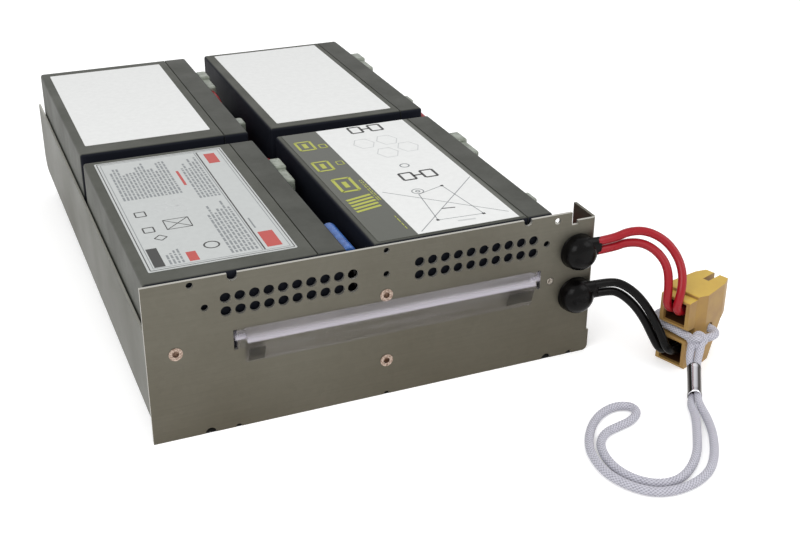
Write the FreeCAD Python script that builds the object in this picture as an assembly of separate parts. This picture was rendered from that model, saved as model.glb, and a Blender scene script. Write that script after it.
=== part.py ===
"""Battery cartridge for a rack UPS: four sealed batteries in a sheet-metal tray.

Millimetres, +Z up.  X runs along the front panel, Y from the panel to the back of the tray.
Sizes are measured from the bottom left corner of the panel's front face.  The finished pieces are
then moved so that the origin lies under the middle of the cartridge, level with its lowest edge.
"""
import FreeCAD, Part
import math
import os

from FreeCAD import Vector

os.makedirs("parts", exist_ok=True)

# Front panel: one folded sheet with a return flange at its right edge, as wide as the tray
PANEL_HEIGHT = 80.0
PANEL_SHEET = 1.5
PANEL_BEND_RADIUS = 2.4
PANEL_CORNER_RADIUS = 3.0
FLANGE_DEPTH = 20.0
FLANGE_TOP_DROP = 4.8
CORNER_WIDTH = 14.0
CORNER_SLOT_WIDTH = 3.4
CORNER_SLOT_DEPTH = 6.8

# Places along the panel: what they are measured from, and the distance to the right of it or, for
# the right edge, to the left of it

# Panel vents: two groups of two rows
VENT_RADIUS = 2.55
VENT_PITCH = 6.69
VENT_ROW_PITCH = 6.75
VENT_COUNT = 10
VENT_GROUP_STARTS = (("left", 37.3), ("right", 95.0))
VENT_TOP_ROW_DROP = 11.6

# Other panel holes: (place, distance, drop below the top edge, radius)
FIXING_HOLES = (("left", 27.7, 14.7), ("right", 27.4, 14.7))
FIXING_HOLE_RADIUS = 1.7
TOP_HOLES = (("left", 21.7, 2.5, 1.6), ("centre", 1.2, 2.6, 1.5), ("centre", 1.2, 14.7, 1.6),
             ("right", 24.3, 35.7, 1.9), ("right", 22.0, 3.4, 1.6))
TOP_SLOTS = (("left", 40.9, 2.4, 3.6), ("right", 38.3, 2.2, 3.0))
EDGE_NOTCHES = (("left", 26.7, 2.6), ("left", 40.0, 1.5), ("centre", 1.1, 1.5), ("right", 24.0, 2.6),
                ("right", 10.9, 1.7))
RIVET_HOLE_RADIUS = 2.1
TAB_RIVET = ("left", 13.3, 44.8)
CENTRE_RIVETS = (("centre", 1.1, 54.3), ("centre", 1.1, 18.9))

# Tray: one folded sheet that hangs its floor above the panel's bottom edge
TRAY_SHEET = 1.2
TRAY_BEND_RADIUS = 2.4
FLOOR_UNDERSIDE = 12.0
WALL_HEIGHT = 45.5
WALL_OVERHANG = 10.5
WALL_REAR_RADIUS = 10.0
REAR_LIP_HEIGHT = 28.0
REAR_LIP_END_GAP = 4.0
REAR_CLEARANCE = 0.8
WALL_RELIEF = 0.3
LEFT_TAB_WIDTH = 21.0
LEFT_TAB_SPAN = (13.0, 43.0)
CENTRE_TAB_WIDTH = 20.0
CENTRE_TAB_TOP = 60.0

# Rivets
RIVET_HEAD_RADIUS = 3.2
RIVET_HEAD_HEIGHT = 0.25
RIVET_WALL = 0.55
FIT_CLEARANCE = 0.05
FLANGE_RIVET_RADIUS = 2.0
FLANGE_RIVET_HEAD_RADIUS = 3.6
FLANGE_RIVET_HEAD_HEIGHT = 1.1
FLANGE_RIVET_HEIGHTS = (24.0, 47.0)
FLANGE_RIVET_SETBACK = 11.0

# Batteries: two columns of two, lying on their sides with the lids toward +X
BATTERY_LENGTH = 151.0
BATTERY_WIDTH = 94.0
BATTERY_HEIGHT = 65.0
LID_WIDTH = 13.6
SEAM_WIDTH = 0.6
SEAM_DEPTH = 0.9
CASE_EDGE_RADIUS = 1.6
FRONT_CLEARANCE = 1.5
LEFT_CLEARANCE = 0.8
COLUMN_GAP = 13.0
CHANNEL_WIDTH = 20.3
ROW_GAP = 8.5
FRONT_PAD = 1.8
REAR_PAD = 3.3
PAD_LENGTH = 120.0
PAD_WIDTH = 60.0

# Labels: (left margin, right margin from the seam, front margin, rear margin) on each case
LABEL_THICKNESS = 0.2
LABEL_CORNER_RADIUS = 0.8
LABEL_MARGINS = {"front_left": (5.0, 6.0, 10.5, 5.0), "front_right": (3.0, 0.9, 1.8, 1.8),
                 "rear_left": (5.0, 4.8, 12.0, 8.0), "rear_right": (6.0, 3.2, 7.0, 5.0)}

# Terminals: a blade near each end of the lid
BLADE_INSET = 32.0
BLADE_DROP = 9.0
BLADE_WIDTH = 6.35
BLADE_THICKNESS = 0.8
BLADE_LENGTH = 5.4
WELL_WIDTH = 15.0
WELL_HEIGHT = 11.0
WELL_DEPTH = 1.6
PAD_BOSS_RADIUS = 4.2

# Terminal sleeves
SLEEVE_GAP = 0.3
FLAG_LENGTH = 29.0
FLAG_DEPTH = 6.6
FLAG_HEIGHT = 12.5
FLAG_DROP = 1.6
STRAIGHT_WIDTH = 10.0
STRAIGHT_DEPTH = 6.0
STRAIGHT_LENGTH = 22.0
STRAIGHT_DROP = 4.3
SLEEVE_RADIUS = 1.4
SPLICE_RADIUS = 3.9
SPLICE_LENGTH = 30.0
SPLICE_FRONT = 12.0

# Cable boots on the panel
BOOT_INSET = 9.8
BOOT_HEIGHTS = {"upper": 58.5, "lower": 34.4}
BOOT_RADIUS = 9.2
BOOT_RISE = 9.0
BOOT_EDGE_RADIUS = 5.0
BOOT_HOLE_RADIUS = 6.4
BOOT_FLANGE_RADIUS = 6.9
BOOT_FLANGE_THICKNESS = 1.2
SPOUT_LENGTH = 12.6
SPOUT_WALL = 1.1
SPOUT_RISE = 3.2
SPOUT_EXIT_RUN = 5.2

# Leads
WIRE_RADIUS = 2.2
WIRE_PITCH = 5.0
WIRE_STANDOFF = 4.5
LEAD_RADIUS = 2.0
LEAD_PITCH = 4.6

# Connector housing, in its own frame: l along the contacts, t across, w up.  Its foot is measured
# from the boots' axis and the panel's face
CONNECTOR_REACH = 41.3
CONNECTOR_FORWARD = 28.0
CONNECTOR_TURN = 20.0
CONNECTOR_LENGTH = 35.5
CONNECTOR_WIDTH = 39.0
CONNECTOR_THICKNESS = 17.0
CONNECTOR_FOOT_LENGTH = 18.5
CONNECTOR_STEP = 7.0
SIDE_BULGE = 2.5
SIDE_BULGE_SPAN = (6.0, 12.0, 29.0)
MATING_END_WIDTH = 12.4
CABLE_TUBE_LENGTH = 6.5
CABLE_TUBE_HEIGHT = 15.6
CABLE_TUBE_SETBACK = 1.6
CABLE_CAVITY = 12.8
CABLE_CAVITY_DEPTH = 10.0
CONTACT_HOLE = 7.4
MATING_CAVITY_HEIGHT = 11.0
MATING_CAVITY_WIDTH = 10.4
MATING_CAVITY_DEPTHS = (8.4, 11.0)
CORD_HOLE_RADIUS = 2.9
CORD_HOLE_SETBACK = 17.0
LATCH_SLOT_LENGTH = 10.5
LATCH_SLOT_WIDTH = 3.4
HOUSING_EDGE_RADIUS = 0.9
CONTACT_BLADE_WIDTH = 8.0
CONTACT_BLADE_THICKNESS = 2.2

# Pull strap: a bent strip of clear film
STRAP_START = 45.0
STRAP_END_INSET = 35.0
STRAP_TOP = 51.6
STRAP_BOTTOM = 34.0
STRAP_RIDGE = 47.0
STRAP_STANDOFF = 5.6
STRAP_FILM = 0.7
STRAP_RIDGE_RADIUS = 2.4
STRAP_PANEL_GAP = 0.3
TONGUE_LENGTH = 6.0
TONGUE_HEIGHT = 9.4
TONGUE_BOTTOM = 41.6
SLOT_WIDTH = 1.8
SLOT_CLEARANCE = 0.3
KEEPER_LENGTH = 5.0

# Pull cord, its places measured from the boots' axis as the leads' are
CORD_RADIUS = 2.15
FERRULE_ENDS = ((40.4, -49.6, 9.6), (30.5, -65.2, 4.6))
FERRULE_WALL = 0.6
FERRULE_FLARE = 0.35
FERRULE_MOUTH = 1.6
CORD_EXIT_RUN = 4.6
KNOT_RADIUS = 4.4

# Routes of the free leads, chosen by hand: from the boot's spout to the connector's cavity, with
# x measured from the boots' axis
RED_ROUTE_1 = ((24.8, -6.4, 67.6), (32.6, -10.2, 68.2), (40.2, -15.4, 64.2), (44.4, -21.2, 57.4),
               (44.6, -27.0, 50.0), (41.8, -31.0, 42.2), (39.0, -32.0, 33.0))
RED_ROUTE_2 = ((24.0, -6.2, 61.6), (31.0, -10.6, 62.0), (36.0, -16.6, 58.8), (38.4, -22.4, 53.0),
               (37.6, -26.2, 44.4), (36.5, -27.4, 33.6))
BLACK_ROUTE_1 = ((23.6, -7.6, 38.8), (28.8, -13.4, 34.6), (32.4, -19.8, 28.0), (34.6, -26.4, 20.0),
                 (36.6, -32.2, 10.4))
BLACK_ROUTE_2 = ((23.0, -7.0, 33.4), (27.6, -12.4, 29.0), (30.6, -18.4, 23.0), (32.6, -23.6, 15.8),
                 (35.4, -27.6, 8.6))

# Route of the pull cord's loop on the floor, chosen by hand, with x measured from the boots' axis
CORD_ROUTE = ((24.0, -75.6, 2.3), (16.0, -88.4, 2.3), (5.8, -103.2, 2.3), (-8.7, -114.4, 2.3),
              (-20.5, -115.0, 2.3), (-29.2, -108.2, 2.3), (-33.2, -97.5, 2.3), (-32.6, -86.3, 2.3),
              (-28.9, -77.2, 2.3), (-22.2, -71.6, 2.3), (-14.8, -69.9, 2.3), (-6.6, -68.2, 2.3),
              (0.3, -63.3, 2.3), (0.2, -57.3, 2.3), (-6.8, -54.5, 2.3), (-16.6, -57.4, 2.3),
              (-26.5, -65.2, 2.3), (-35.6, -78.1, 2.3), (-38.6, -90.0, 2.3), (-38.2, -101.6, 2.3),
              (-32.6, -113.0, 2.3), (-24.0, -119.8, 2.3), (-10.9, -120.6, 2.3), (2.2, -116.2, 2.3),
              (12.0, -107.4, 2.3), (21.4, -93.6, 2.3), (27.4, -80.8, 2.3))

# Values worked out from the ones above
PANEL_BACK = PANEL_SHEET
FLOOR_TOP = FLOOR_UNDERSIDE + TRAY_SHEET
WALL_TOP = FLOOR_UNDERSIDE + WALL_HEIGHT
COLUMN_X = {"left": TRAY_SHEET + LEFT_CLEARANCE,
            "right": TRAY_SHEET + LEFT_CLEARANCE + BATTERY_WIDTH + COLUMN_GAP}
ROW_Y = {"front": PANEL_BACK + FRONT_CLEARANCE,
         "rear": PANEL_BACK + FRONT_CLEARANCE + BATTERY_LENGTH + ROW_GAP}
ROW_Z = {"front": FLOOR_TOP + FRONT_PAD, "rear": FLOOR_TOP + REAR_PAD}
TRAY_RIGHT = COLUMN_X["right"] + BATTERY_WIDTH + CHANNEL_WIDTH + TRAY_SHEET
PANEL_WIDTH = TRAY_RIGHT + PANEL_SHEET
PANEL_EDGES = {"left": (0.0, 1.0), "centre": (PANEL_WIDTH / 2, 1.0), "right": (PANEL_WIDTH, -1.0)}
LIP_FRONT = ROW_Y["rear"] + BATTERY_LENGTH + REAR_CLEARANCE
TRAY_BACK = LIP_FRONT + TRAY_SHEET + WALL_OVERHANG
WALL_LENGTH = TRAY_BACK - PANEL_BACK
BOOT_X = PANEL_WIDTH - BOOT_INSET
CONNECTOR_FOOT = (BOOT_X + CONNECTOR_REACH, -CONNECTOR_FORWARD)
STRAP_END = PANEL_WIDTH - STRAP_END_INSET
FERRULE_TOP, FERRULE_BOTTOM = (Vector(BOOT_X + x, y, z) for x, y, z in FERRULE_ENDS)
ORIGIN = Vector((BOOT_X + SPOUT_LENGTH) / 2, (TRAY_BACK - BOOT_RISE) / 2, 0)
BATTERIES = (("front", "left"), ("front", "right"), ("rear", "left"), ("rear", "right"))
BLADE_OFFSETS = {"front": BLADE_INSET, "rear": BATTERY_LENGTH - BLADE_INSET}


def box(x0, y0, z0, x1, y1, z1):
    """A block between two corners."""
    return Part.makeBox(x1 - x0, y1 - y0, z1 - z0, Vector(x0, y0, z0))


def cylinder(radius, start, end):
    """A cylinder between two points."""
    axis = end.sub(start)
    return Part.makeCylinder(radius, axis.Length, start, axis)


def polygon(points):
    """A face from a closed outline of points."""
    return Part.Face(Part.makePolygon([Vector(*p) for p in points] + [Vector(*points[0])]))


def rounded_block(x0, y0, z0, x1, y1, z1, radius):
    """A block with all its edges rounded."""
    block = box(x0, y0, z0, x1, y1, z1)
    return block.makeFillet(radius, block.Edges)


def angle_strip(sheet, radius, first, second):
    """Profile of a folded strip in the local uv plane, as an outline of edges.

    The strip runs along +u for a length of first, then turns up along +v to a height of second.
    Its outer bend has the given radius.
    """
    inner = radius - sheet
    centre = (first - radius, radius)

    def arc(size):
        points = [Vector(centre[0] + size * math.cos(a), centre[1] + size * math.sin(a), 0)
                  for a in (-math.pi / 2, -math.pi / 4, 0.0)]
        return Part.Arc(*points).toShape()

    def line(a, b):
        return Part.LineSegment(Vector(a[0], a[1], 0), Vector(b[0], b[1], 0)).toShape()

    edges = [line((0, 0), (centre[0], 0)), arc(radius), line((first, centre[1]), (first, second)),
             line((first, second), (first - sheet, second)),
             line((first - sheet, second), (first - sheet, centre[1])), arc(inner),
             line((centre[0], sheet), (0, sheet)), line((0, sheet), (0, 0))]
    return Part.Face(Part.Wire(Part.__sortEdges__(edges)))


def panel_x(edge, distance):
    """Place along the panel, from its left edge, its centre or its right edge."""
    start, sign = PANEL_EDGES[edge]
    return start + sign * distance


def from_boots(points):
    """A route whose x is measured from the boots' axis, in the part's frame."""
    return tuple((BOOT_X + x, y, z) for x, y, z in points)


def placed(shape, origin, u, v):
    """Copy of a shape drawn in uv, with u and v along the given directions."""
    w = Vector(*u).cross(Vector(*v))
    matrix = FreeCAD.Matrix(u[0], v[0], w.x, origin[0], u[1], v[1], w.y, origin[1],
                            u[2], v[2], w.z, origin[2], 0, 0, 0, 1)
    return shape.transformed(matrix)


def route_wire(points):
    """Straight runs joined by tangent arcs, with the length and the smallest radius."""
    points = [Vector(*p) for p in points]
    edges = []
    start = points[0]
    radii = []
    for before, corner, after in zip(points, points[1:], points[2:]):
        back = before.sub(corner)
        ahead = after.sub(corner)
        cut = 0.45 * min(back.Length, ahead.Length)
        back.normalize()
        ahead.normalize()
        turn = math.pi - back.getAngle(ahead)
        radius = cut / math.tan(turn / 2)
        radii.append(radius)
        first = corner + back * cut
        last = corner + ahead * cut
        bisector = back + ahead
        bisector.normalize()
        depth = radius / math.cos(turn / 2) - radius
        edges.append(Part.LineSegment(start, first).toShape())
        edges.append(Part.Arc(first, corner + bisector * depth, last).toShape())
        start = last
    edges.append(Part.LineSegment(start, points[-1]).toShape())
    wire = Part.Wire(edges)
    return wire, min(radii)


def tube(name, points, radius):
    """Round section carried along a route, with its volume compared with section times length."""
    wire, smallest = route_wire(points)
    start = Vector(*points[0])
    heading = Vector(*points[1]).sub(start)
    section = Part.Wire(Part.makeCircle(radius, start, heading))
    solid = wire.makePipeShell([section], True, False)
    expected = math.pi * radius ** 2 * wire.Length
    print("%s: length %.1f, smallest radius %.1f, volume ratio %.4f"
          % (name, wire.Length, smallest, solid.Volume / expected))
    return solid


def save(name, shape):
    """Write one sub-part to its STEP file."""
    if not shape.isValid():
        print("NOT VALID:", name)
    shape.translated(ORIGIN * -1).exportStep("parts/%s.step" % name)


# Tray


def make_tray():
    """Floor, walls, rear lip and front tabs folded from one sheet."""
    sheet, radius = TRAY_SHEET, TRAY_BEND_RADIUS
    half = TRAY_RIGHT / 2
    right = placed(angle_strip(sheet, radius, half, WALL_HEIGHT), (half, PANEL_BACK, FLOOR_UNDERSIDE),
                   (1, 0, 0), (0, 0, 1)).extrude(Vector(0, WALL_LENGTH, 0))
    left = placed(angle_strip(sheet, radius, half, WALL_HEIGHT), (half, PANEL_BACK, FLOOR_UNDERSIDE),
                  (-1, 0, 0), (0, 0, 1)).extrude(Vector(0, WALL_LENGTH, 0))
    tray = left.fuse(right).removeSplitter()
    lip_back = LIP_FRONT + sheet
    behind = box(radius, lip_back - radius, 0, TRAY_RIGHT - radius, TRAY_BACK + 1, WALL_TOP + 1)
    tray = tray.cut(behind)
    tray = tray.cut(box(-1, lip_back, 0, radius, TRAY_BACK + 1, FLOOR_UNDERSIDE + radius))
    tray = tray.cut(box(TRAY_RIGHT - radius, lip_back, 0, TRAY_RIGHT + 1, TRAY_BACK + 1,
                        FLOOR_UNDERSIDE + radius))
    lip = placed(angle_strip(sheet, radius, 2 * radius, REAR_LIP_HEIGHT),
                 (0, lip_back - 2 * radius, FLOOR_UNDERSIDE), (0, 1, 0), (0, 0, 1))
    lip = lip.extrude(Vector(TRAY_RIGHT - 2 * REAR_LIP_END_GAP, 0, 0))
    lip.translate(Vector(REAR_LIP_END_GAP, 0, 0))
    tray = tray.fuse(lip)
    tray = tray.cut(rear_corner_cutter())
    tray = tray.fuse(left_tab()).fuse(centre_tab()).removeSplitter()
    return cut_rivet_holes(tray)


def rear_corner_cutter():
    """What rounds the lower rear corners of both walls."""
    radius = WALL_REAR_RADIUS
    bottom = FLOOR_UNDERSIDE + TRAY_BEND_RADIUS
    corner = box(-1, TRAY_BACK - radius, bottom - 1, TRAY_RIGHT + 1, TRAY_BACK + 1, bottom + radius)
    centre = (TRAY_BACK - radius, bottom + radius)
    keep = cylinder(radius, Vector(-2, centre[0], centre[1]), Vector(TRAY_RIGHT + 2, centre[0], centre[1]))
    return corner.cut(keep)


def left_tab():
    """Tab folded in from the left wall, behind the panel."""
    depth = PANEL_BACK + 4 * TRAY_BEND_RADIUS
    strip = angle_strip(TRAY_SHEET, TRAY_BEND_RADIUS, LEFT_TAB_WIDTH, depth - PANEL_BACK)
    face = placed(strip, (LEFT_TAB_WIDTH, PANEL_BACK, FLOOR_UNDERSIDE + LEFT_TAB_SPAN[0]),
                  (-1, 0, 0), (0, 1, 0))
    return face.extrude(Vector(0, 0, LEFT_TAB_SPAN[1] - LEFT_TAB_SPAN[0]))


def centre_tab():
    """Tab folded up from the floor, behind the panel."""
    reach = 3 * TRAY_BEND_RADIUS
    strip = angle_strip(TRAY_SHEET, TRAY_BEND_RADIUS, reach, CENTRE_TAB_TOP - FLOOR_UNDERSIDE)
    left = panel_x(*CENTRE_RIVETS[0][:2]) - CENTRE_TAB_WIDTH / 2
    face = placed(strip, (left, PANEL_BACK + reach, FLOOR_UNDERSIDE), (0, -1, 0), (0, 0, 1))
    return face.extrude(Vector(CENTRE_TAB_WIDTH, 0, 0))


def panel_rivet_places():
    """Centres of the tubular rivets on the panel."""
    return [(panel_x(edge, distance), z) for edge, distance, z in (TAB_RIVET,) + CENTRE_RIVETS]


def flange_rivet_places():
    """Centres of the rivets that join the panel's flange to the right wall."""
    return [(FLANGE_RIVET_SETBACK, z) for z in FLANGE_RIVET_HEIGHTS]


def cut_rivet_holes(tray):
    """Front edge relief and the holes for both sets of rivets."""
    fold_relief = box(TRAY_RIGHT - TRAY_BEND_RADIUS, 0, 0, TRAY_RIGHT + 1, PANEL_BEND_RADIUS + WALL_RELIEF,
                      WALL_TOP + 1)
    tray = tray.cut(fold_relief)
    for x, z in panel_rivet_places():
        tray = tray.cut(cylinder(RIVET_HOLE_RADIUS, Vector(x, 0, z), Vector(x, 6, z)))
    for y, z in flange_rivet_places():
        tray = tray.cut(cylinder(FLANGE_RIVET_RADIUS + FIT_CLEARANCE, Vector(TRAY_RIGHT - 3, y, z),
                                 Vector(TRAY_RIGHT + 3, y, z)))
    return tray


# Front panel


def make_panel():
    """Front panel with its flange, vents, holes, notches and slots."""
    strip = placed(angle_strip(PANEL_SHEET, PANEL_BEND_RADIUS, PANEL_WIDTH, FLANGE_DEPTH), (0, 0, 0),
                   (1, 0, 0), (0, 1, 0))
    panel = strip.extrude(Vector(0, 0, PANEL_HEIGHT))
    fold = PANEL_WIDTH - PANEL_BEND_RADIUS
    panel = panel.cut(box(fold, -1, -1, PANEL_WIDTH + 1, FLANGE_DEPTH + 1, FLOOR_UNDERSIDE))
    panel = panel.fuse(box(fold - 1, 0, 0, PANEL_WIDTH, PANEL_SHEET, FLOOR_UNDERSIDE)).removeSplitter()
    corner = [e for e in panel.Edges if is_bottom_corner(e)]
    panel = panel.makeFillet(PANEL_CORNER_RADIUS, corner)
    corner_left = PANEL_WIDTH - CORNER_WIDTH
    panel = panel.cut(box(corner_left, -1, PANEL_HEIGHT - FLANGE_TOP_DROP, PANEL_WIDTH + 1,
                          FLANGE_DEPTH + 1, PANEL_HEIGHT + 1))
    panel = panel.cut(box(corner_left, -1, PANEL_HEIGHT - CORNER_SLOT_DEPTH,
                          corner_left + CORNER_SLOT_WIDTH, PANEL_SHEET + 1, PANEL_HEIGHT + 1))
    return panel.cut(Part.Compound(panel_cutters()))


def is_bottom_corner(edge):
    """Whether an edge is the panel's bottom right corner, through its thickness."""
    box_ = edge.BoundBox
    return (box_.YLength > PANEL_SHEET - 0.1 and box_.ZMax < 0.1 and box_.XMin > PANEL_WIDTH - 0.1
            and box_.YLength < PANEL_SHEET + 0.1)


def through(radius, x, z):
    """Cutter for a round hole through the panel."""
    return cylinder(radius, Vector(x, -1, z), Vector(x, PANEL_SHEET + 1, z))


def panel_cutters():
    """Everything that is punched out of the panel."""
    cutters = []
    top_row = PANEL_HEIGHT - VENT_TOP_ROW_DROP
    for edge, distance in VENT_GROUP_STARTS:
        for row in range(2):
            for column in range(VENT_COUNT):
                cutters.append(through(VENT_RADIUS, panel_x(edge, distance) + column * VENT_PITCH,
                                       top_row - row * VENT_ROW_PITCH))
    for edge, distance, drop, radius in TOP_HOLES:
        cutters.append(through(radius, panel_x(edge, distance), PANEL_HEIGHT - drop))
    for edge, distance, drop in FIXING_HOLES:
        cutters.append(through(FIXING_HOLE_RADIUS, panel_x(edge, distance), PANEL_HEIGHT - drop))
    for edge, distance, radius, depth in TOP_SLOTS:
        x = panel_x(edge, distance)
        floor = PANEL_HEIGHT - depth + radius
        cutters.append(through(radius, x, floor).fuse(
            box(x - radius, -1, floor, x + radius, PANEL_SHEET + 1, PANEL_HEIGHT + 2)))
    for edge, distance, radius in EDGE_NOTCHES:
        cutters.append(through(radius, panel_x(edge, distance), 0))
    for x, z in panel_rivet_places():
        cutters.append(through(RIVET_HOLE_RADIUS, x, z))
    for z in BOOT_HEIGHTS.values():
        cutters.append(through(BOOT_HOLE_RADIUS, BOOT_X, z))
    for y, z in flange_rivet_places():
        cutters.append(cylinder(FLANGE_RIVET_RADIUS + FIT_CLEARANCE, Vector(PANEL_WIDTH - 3, y, z),
                                Vector(PANEL_WIDTH + 3, y, z)))
    for x in strap_slot_starts():
        cutters.append(box(x, -1, TONGUE_BOTTOM - SLOT_CLEARANCE, x + SLOT_WIDTH, PANEL_SHEET + 1,
                           TONGUE_BOTTOM + TONGUE_HEIGHT + SLOT_CLEARANCE))
    return cutters


def make_panel_rivets():
    """Tubular rivets with a thin rolled rim on the panel's face, open in the middle."""
    rivets = []
    back = PANEL_BACK + TRAY_SHEET
    for x, z in panel_rivet_places():
        shank = RIVET_HOLE_RADIUS - FIT_CLEARANCE
        body = cylinder(shank, Vector(x, -RIVET_HEAD_HEIGHT, z), Vector(x, back, z))
        head = cylinder(RIVET_HEAD_RADIUS, Vector(x, -RIVET_HEAD_HEIGHT, z), Vector(x, 0, z))
        bore = cylinder(shank - RIVET_WALL, Vector(x, -1, z), Vector(x, back - RIVET_WALL, z))
        rivets.append(body.fuse(head).removeSplitter().cut(bore))
    return Part.Compound(rivets)


def make_flange_rivets():
    """Solid rivets through the panel's flange and the right wall."""
    rivets = []
    inside = TRAY_RIGHT - TRAY_SHEET
    for y, z in flange_rivet_places():
        shank = cylinder(FLANGE_RIVET_RADIUS, Vector(inside, y, z), Vector(PANEL_WIDTH, y, z))
        dome = Part.makeSphere(FLANGE_RIVET_HEAD_RADIUS)
        dome = dome.common(box(0, -9, -9, 9, 9, 9))
        squash = FreeCAD.Matrix()
        squash.scale(FLANGE_RIVET_HEAD_HEIGHT / FLANGE_RIVET_HEAD_RADIUS, 1, 1)
        dome = dome.transformGeometry(squash)
        dome.translate(Vector(PANEL_WIDTH, y, z))
        tail = cylinder(FLANGE_RIVET_HEAD_RADIUS * 0.8, Vector(inside - 0.8, y, z), Vector(inside, y, z))
        rivets.append(shank.fuse([dome, tail]))
    return Part.Compound(rivets)


# Pull strap


def strap_slot_starts():
    """Left edges of the two slots that the strap's tongues pass through."""
    return (STRAP_START - TONGUE_LENGTH + SLOT_WIDTH / 2, STRAP_END + TONGUE_LENGTH - 1.5 * SLOT_WIDTH)


def make_strap():
    """Bent film with a rounded ridge and closed ends, whose two tongues hook behind the panel."""
    outer = ridge_wire(0.0)
    inner = ridge_wire(STRAP_FILM)
    ends = [Part.LineSegment(outer.Vertexes[0].Point, inner.Vertexes[0].Point).toShape(),
            Part.LineSegment(outer.Vertexes[-1].Point, inner.Vertexes[-1].Point).toShape()]
    edges = Part.__sortEdges__(outer.Edges + inner.Edges + ends)
    strap = Part.Face(Part.Wire(edges)).extrude(Vector(STRAP_END - STRAP_START, 0, 0))
    strap = strap.fuse([end_wall(STRAP_START), end_wall(STRAP_END - STRAP_FILM)]).removeSplitter()
    return strap.fuse([tongue(-1), tongue(1)]).removeSplitter()


def ridge_wire(offset):
    """The film's line at a depth below its outer face: two flats joined by a rounded ridge."""
    top = (-STRAP_PANEL_GAP - STRAP_FILM + offset, STRAP_TOP)
    ridge = (-STRAP_STANDOFF + offset, STRAP_RIDGE)
    bottom = (-STRAP_PANEL_GAP - STRAP_FILM + offset, STRAP_BOTTOM)
    points = [Vector(STRAP_START, *p) for p in (top, ridge, bottom)]
    back = points[0].sub(points[1])
    ahead = points[2].sub(points[1])
    back.normalize()
    ahead.normalize()
    turn = math.pi - back.getAngle(ahead)
    cut = (STRAP_RIDGE_RADIUS - offset) * math.tan(turn / 2)
    bisector = back + ahead
    bisector.normalize()
    depth = (STRAP_RIDGE_RADIUS - offset) * (1 / math.cos(turn / 2) - 1)
    first = points[1] + back * cut
    last = points[1] + ahead * cut
    return Part.Wire([Part.LineSegment(points[0], first).toShape(),
                      Part.Arc(first, points[1] + bisector * depth, last).toShape(),
                      Part.LineSegment(last, points[2]).toShape()])


def tongue(side):
    """Tongue of the film that goes through the panel's slot and turns outward behind it."""
    slot = strap_slot_starts()[0 if side < 0 else 1]
    middle = slot + SLOT_WIDTH / 2
    root = STRAP_START + STRAP_FILM / 2 if side < 0 else STRAP_END - STRAP_FILM / 2
    low, high = TONGUE_BOTTOM, TONGUE_BOTTOM + TONGUE_HEIGHT
    front = -STRAP_PANEL_GAP - STRAP_FILM
    back = PANEL_BACK + SLOT_CLEARANCE
    half = STRAP_FILM / 2
    outer = middle + side * half
    x_low, x_high = sorted((root, outer))
    lead = box(x_low, front, low, x_high, front + STRAP_FILM, high)
    neck = box(middle - half, front, low, middle + half, back + STRAP_FILM, high)
    x_low, x_high = sorted((middle - side * half, middle + side * KEEPER_LENGTH))
    hook = box(x_low, back, low, x_high, back + STRAP_FILM, high)
    return lead.fuse([neck, hook]).removeSplitter()


def end_wall(start):
    """Wall that closes the film's bow at one end, from its outer line to its back."""
    outer = ridge_wire(0.0)
    back = -STRAP_PANEL_GAP
    corners = [outer.Vertexes[-1].Point, Vector(STRAP_START, back, STRAP_BOTTOM),
               Vector(STRAP_START, back, STRAP_TOP), outer.Vertexes[0].Point]
    closing = [Part.LineSegment(a, b).toShape() for a, b in zip(corners, corners[1:])]
    wall = Part.Face(Part.Wire(Part.__sortEdges__(outer.Edges + closing)))
    wall = wall.extrude(Vector(STRAP_FILM, 0, 0))
    wall.translate(Vector(start - STRAP_START, 0, 0))
    return wall


# Batteries


def battery_origin(row, column):
    """Lower left front corner of a battery."""
    return Vector(COLUMN_X[column], ROW_Y[row], ROW_Z[row])


def make_case(row, column):
    """Moulded case with rounded edges and a rebate beside the lid."""
    corner = battery_origin(row, column)
    width = BATTERY_WIDTH - LID_WIDTH
    case = box(0, 0, 0, width, BATTERY_LENGTH, BATTERY_HEIGHT)
    edges = [e for e in case.Edges if e.BoundBox.XMax < 0.1 or e.BoundBox.XLength > width - 1]
    case = case.makeFillet(CASE_EDGE_RADIUS, edges)
    frame = box(width - SEAM_WIDTH, -1, -1, width + 1, BATTERY_LENGTH + 1, BATTERY_HEIGHT + 1)
    core = box(width - SEAM_WIDTH - 1, SEAM_DEPTH, SEAM_DEPTH, width + 2,
               BATTERY_LENGTH - SEAM_DEPTH, BATTERY_HEIGHT - SEAM_DEPTH)
    case = case.cut(frame.cut(core))
    case.translate(corner)
    return case


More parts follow.
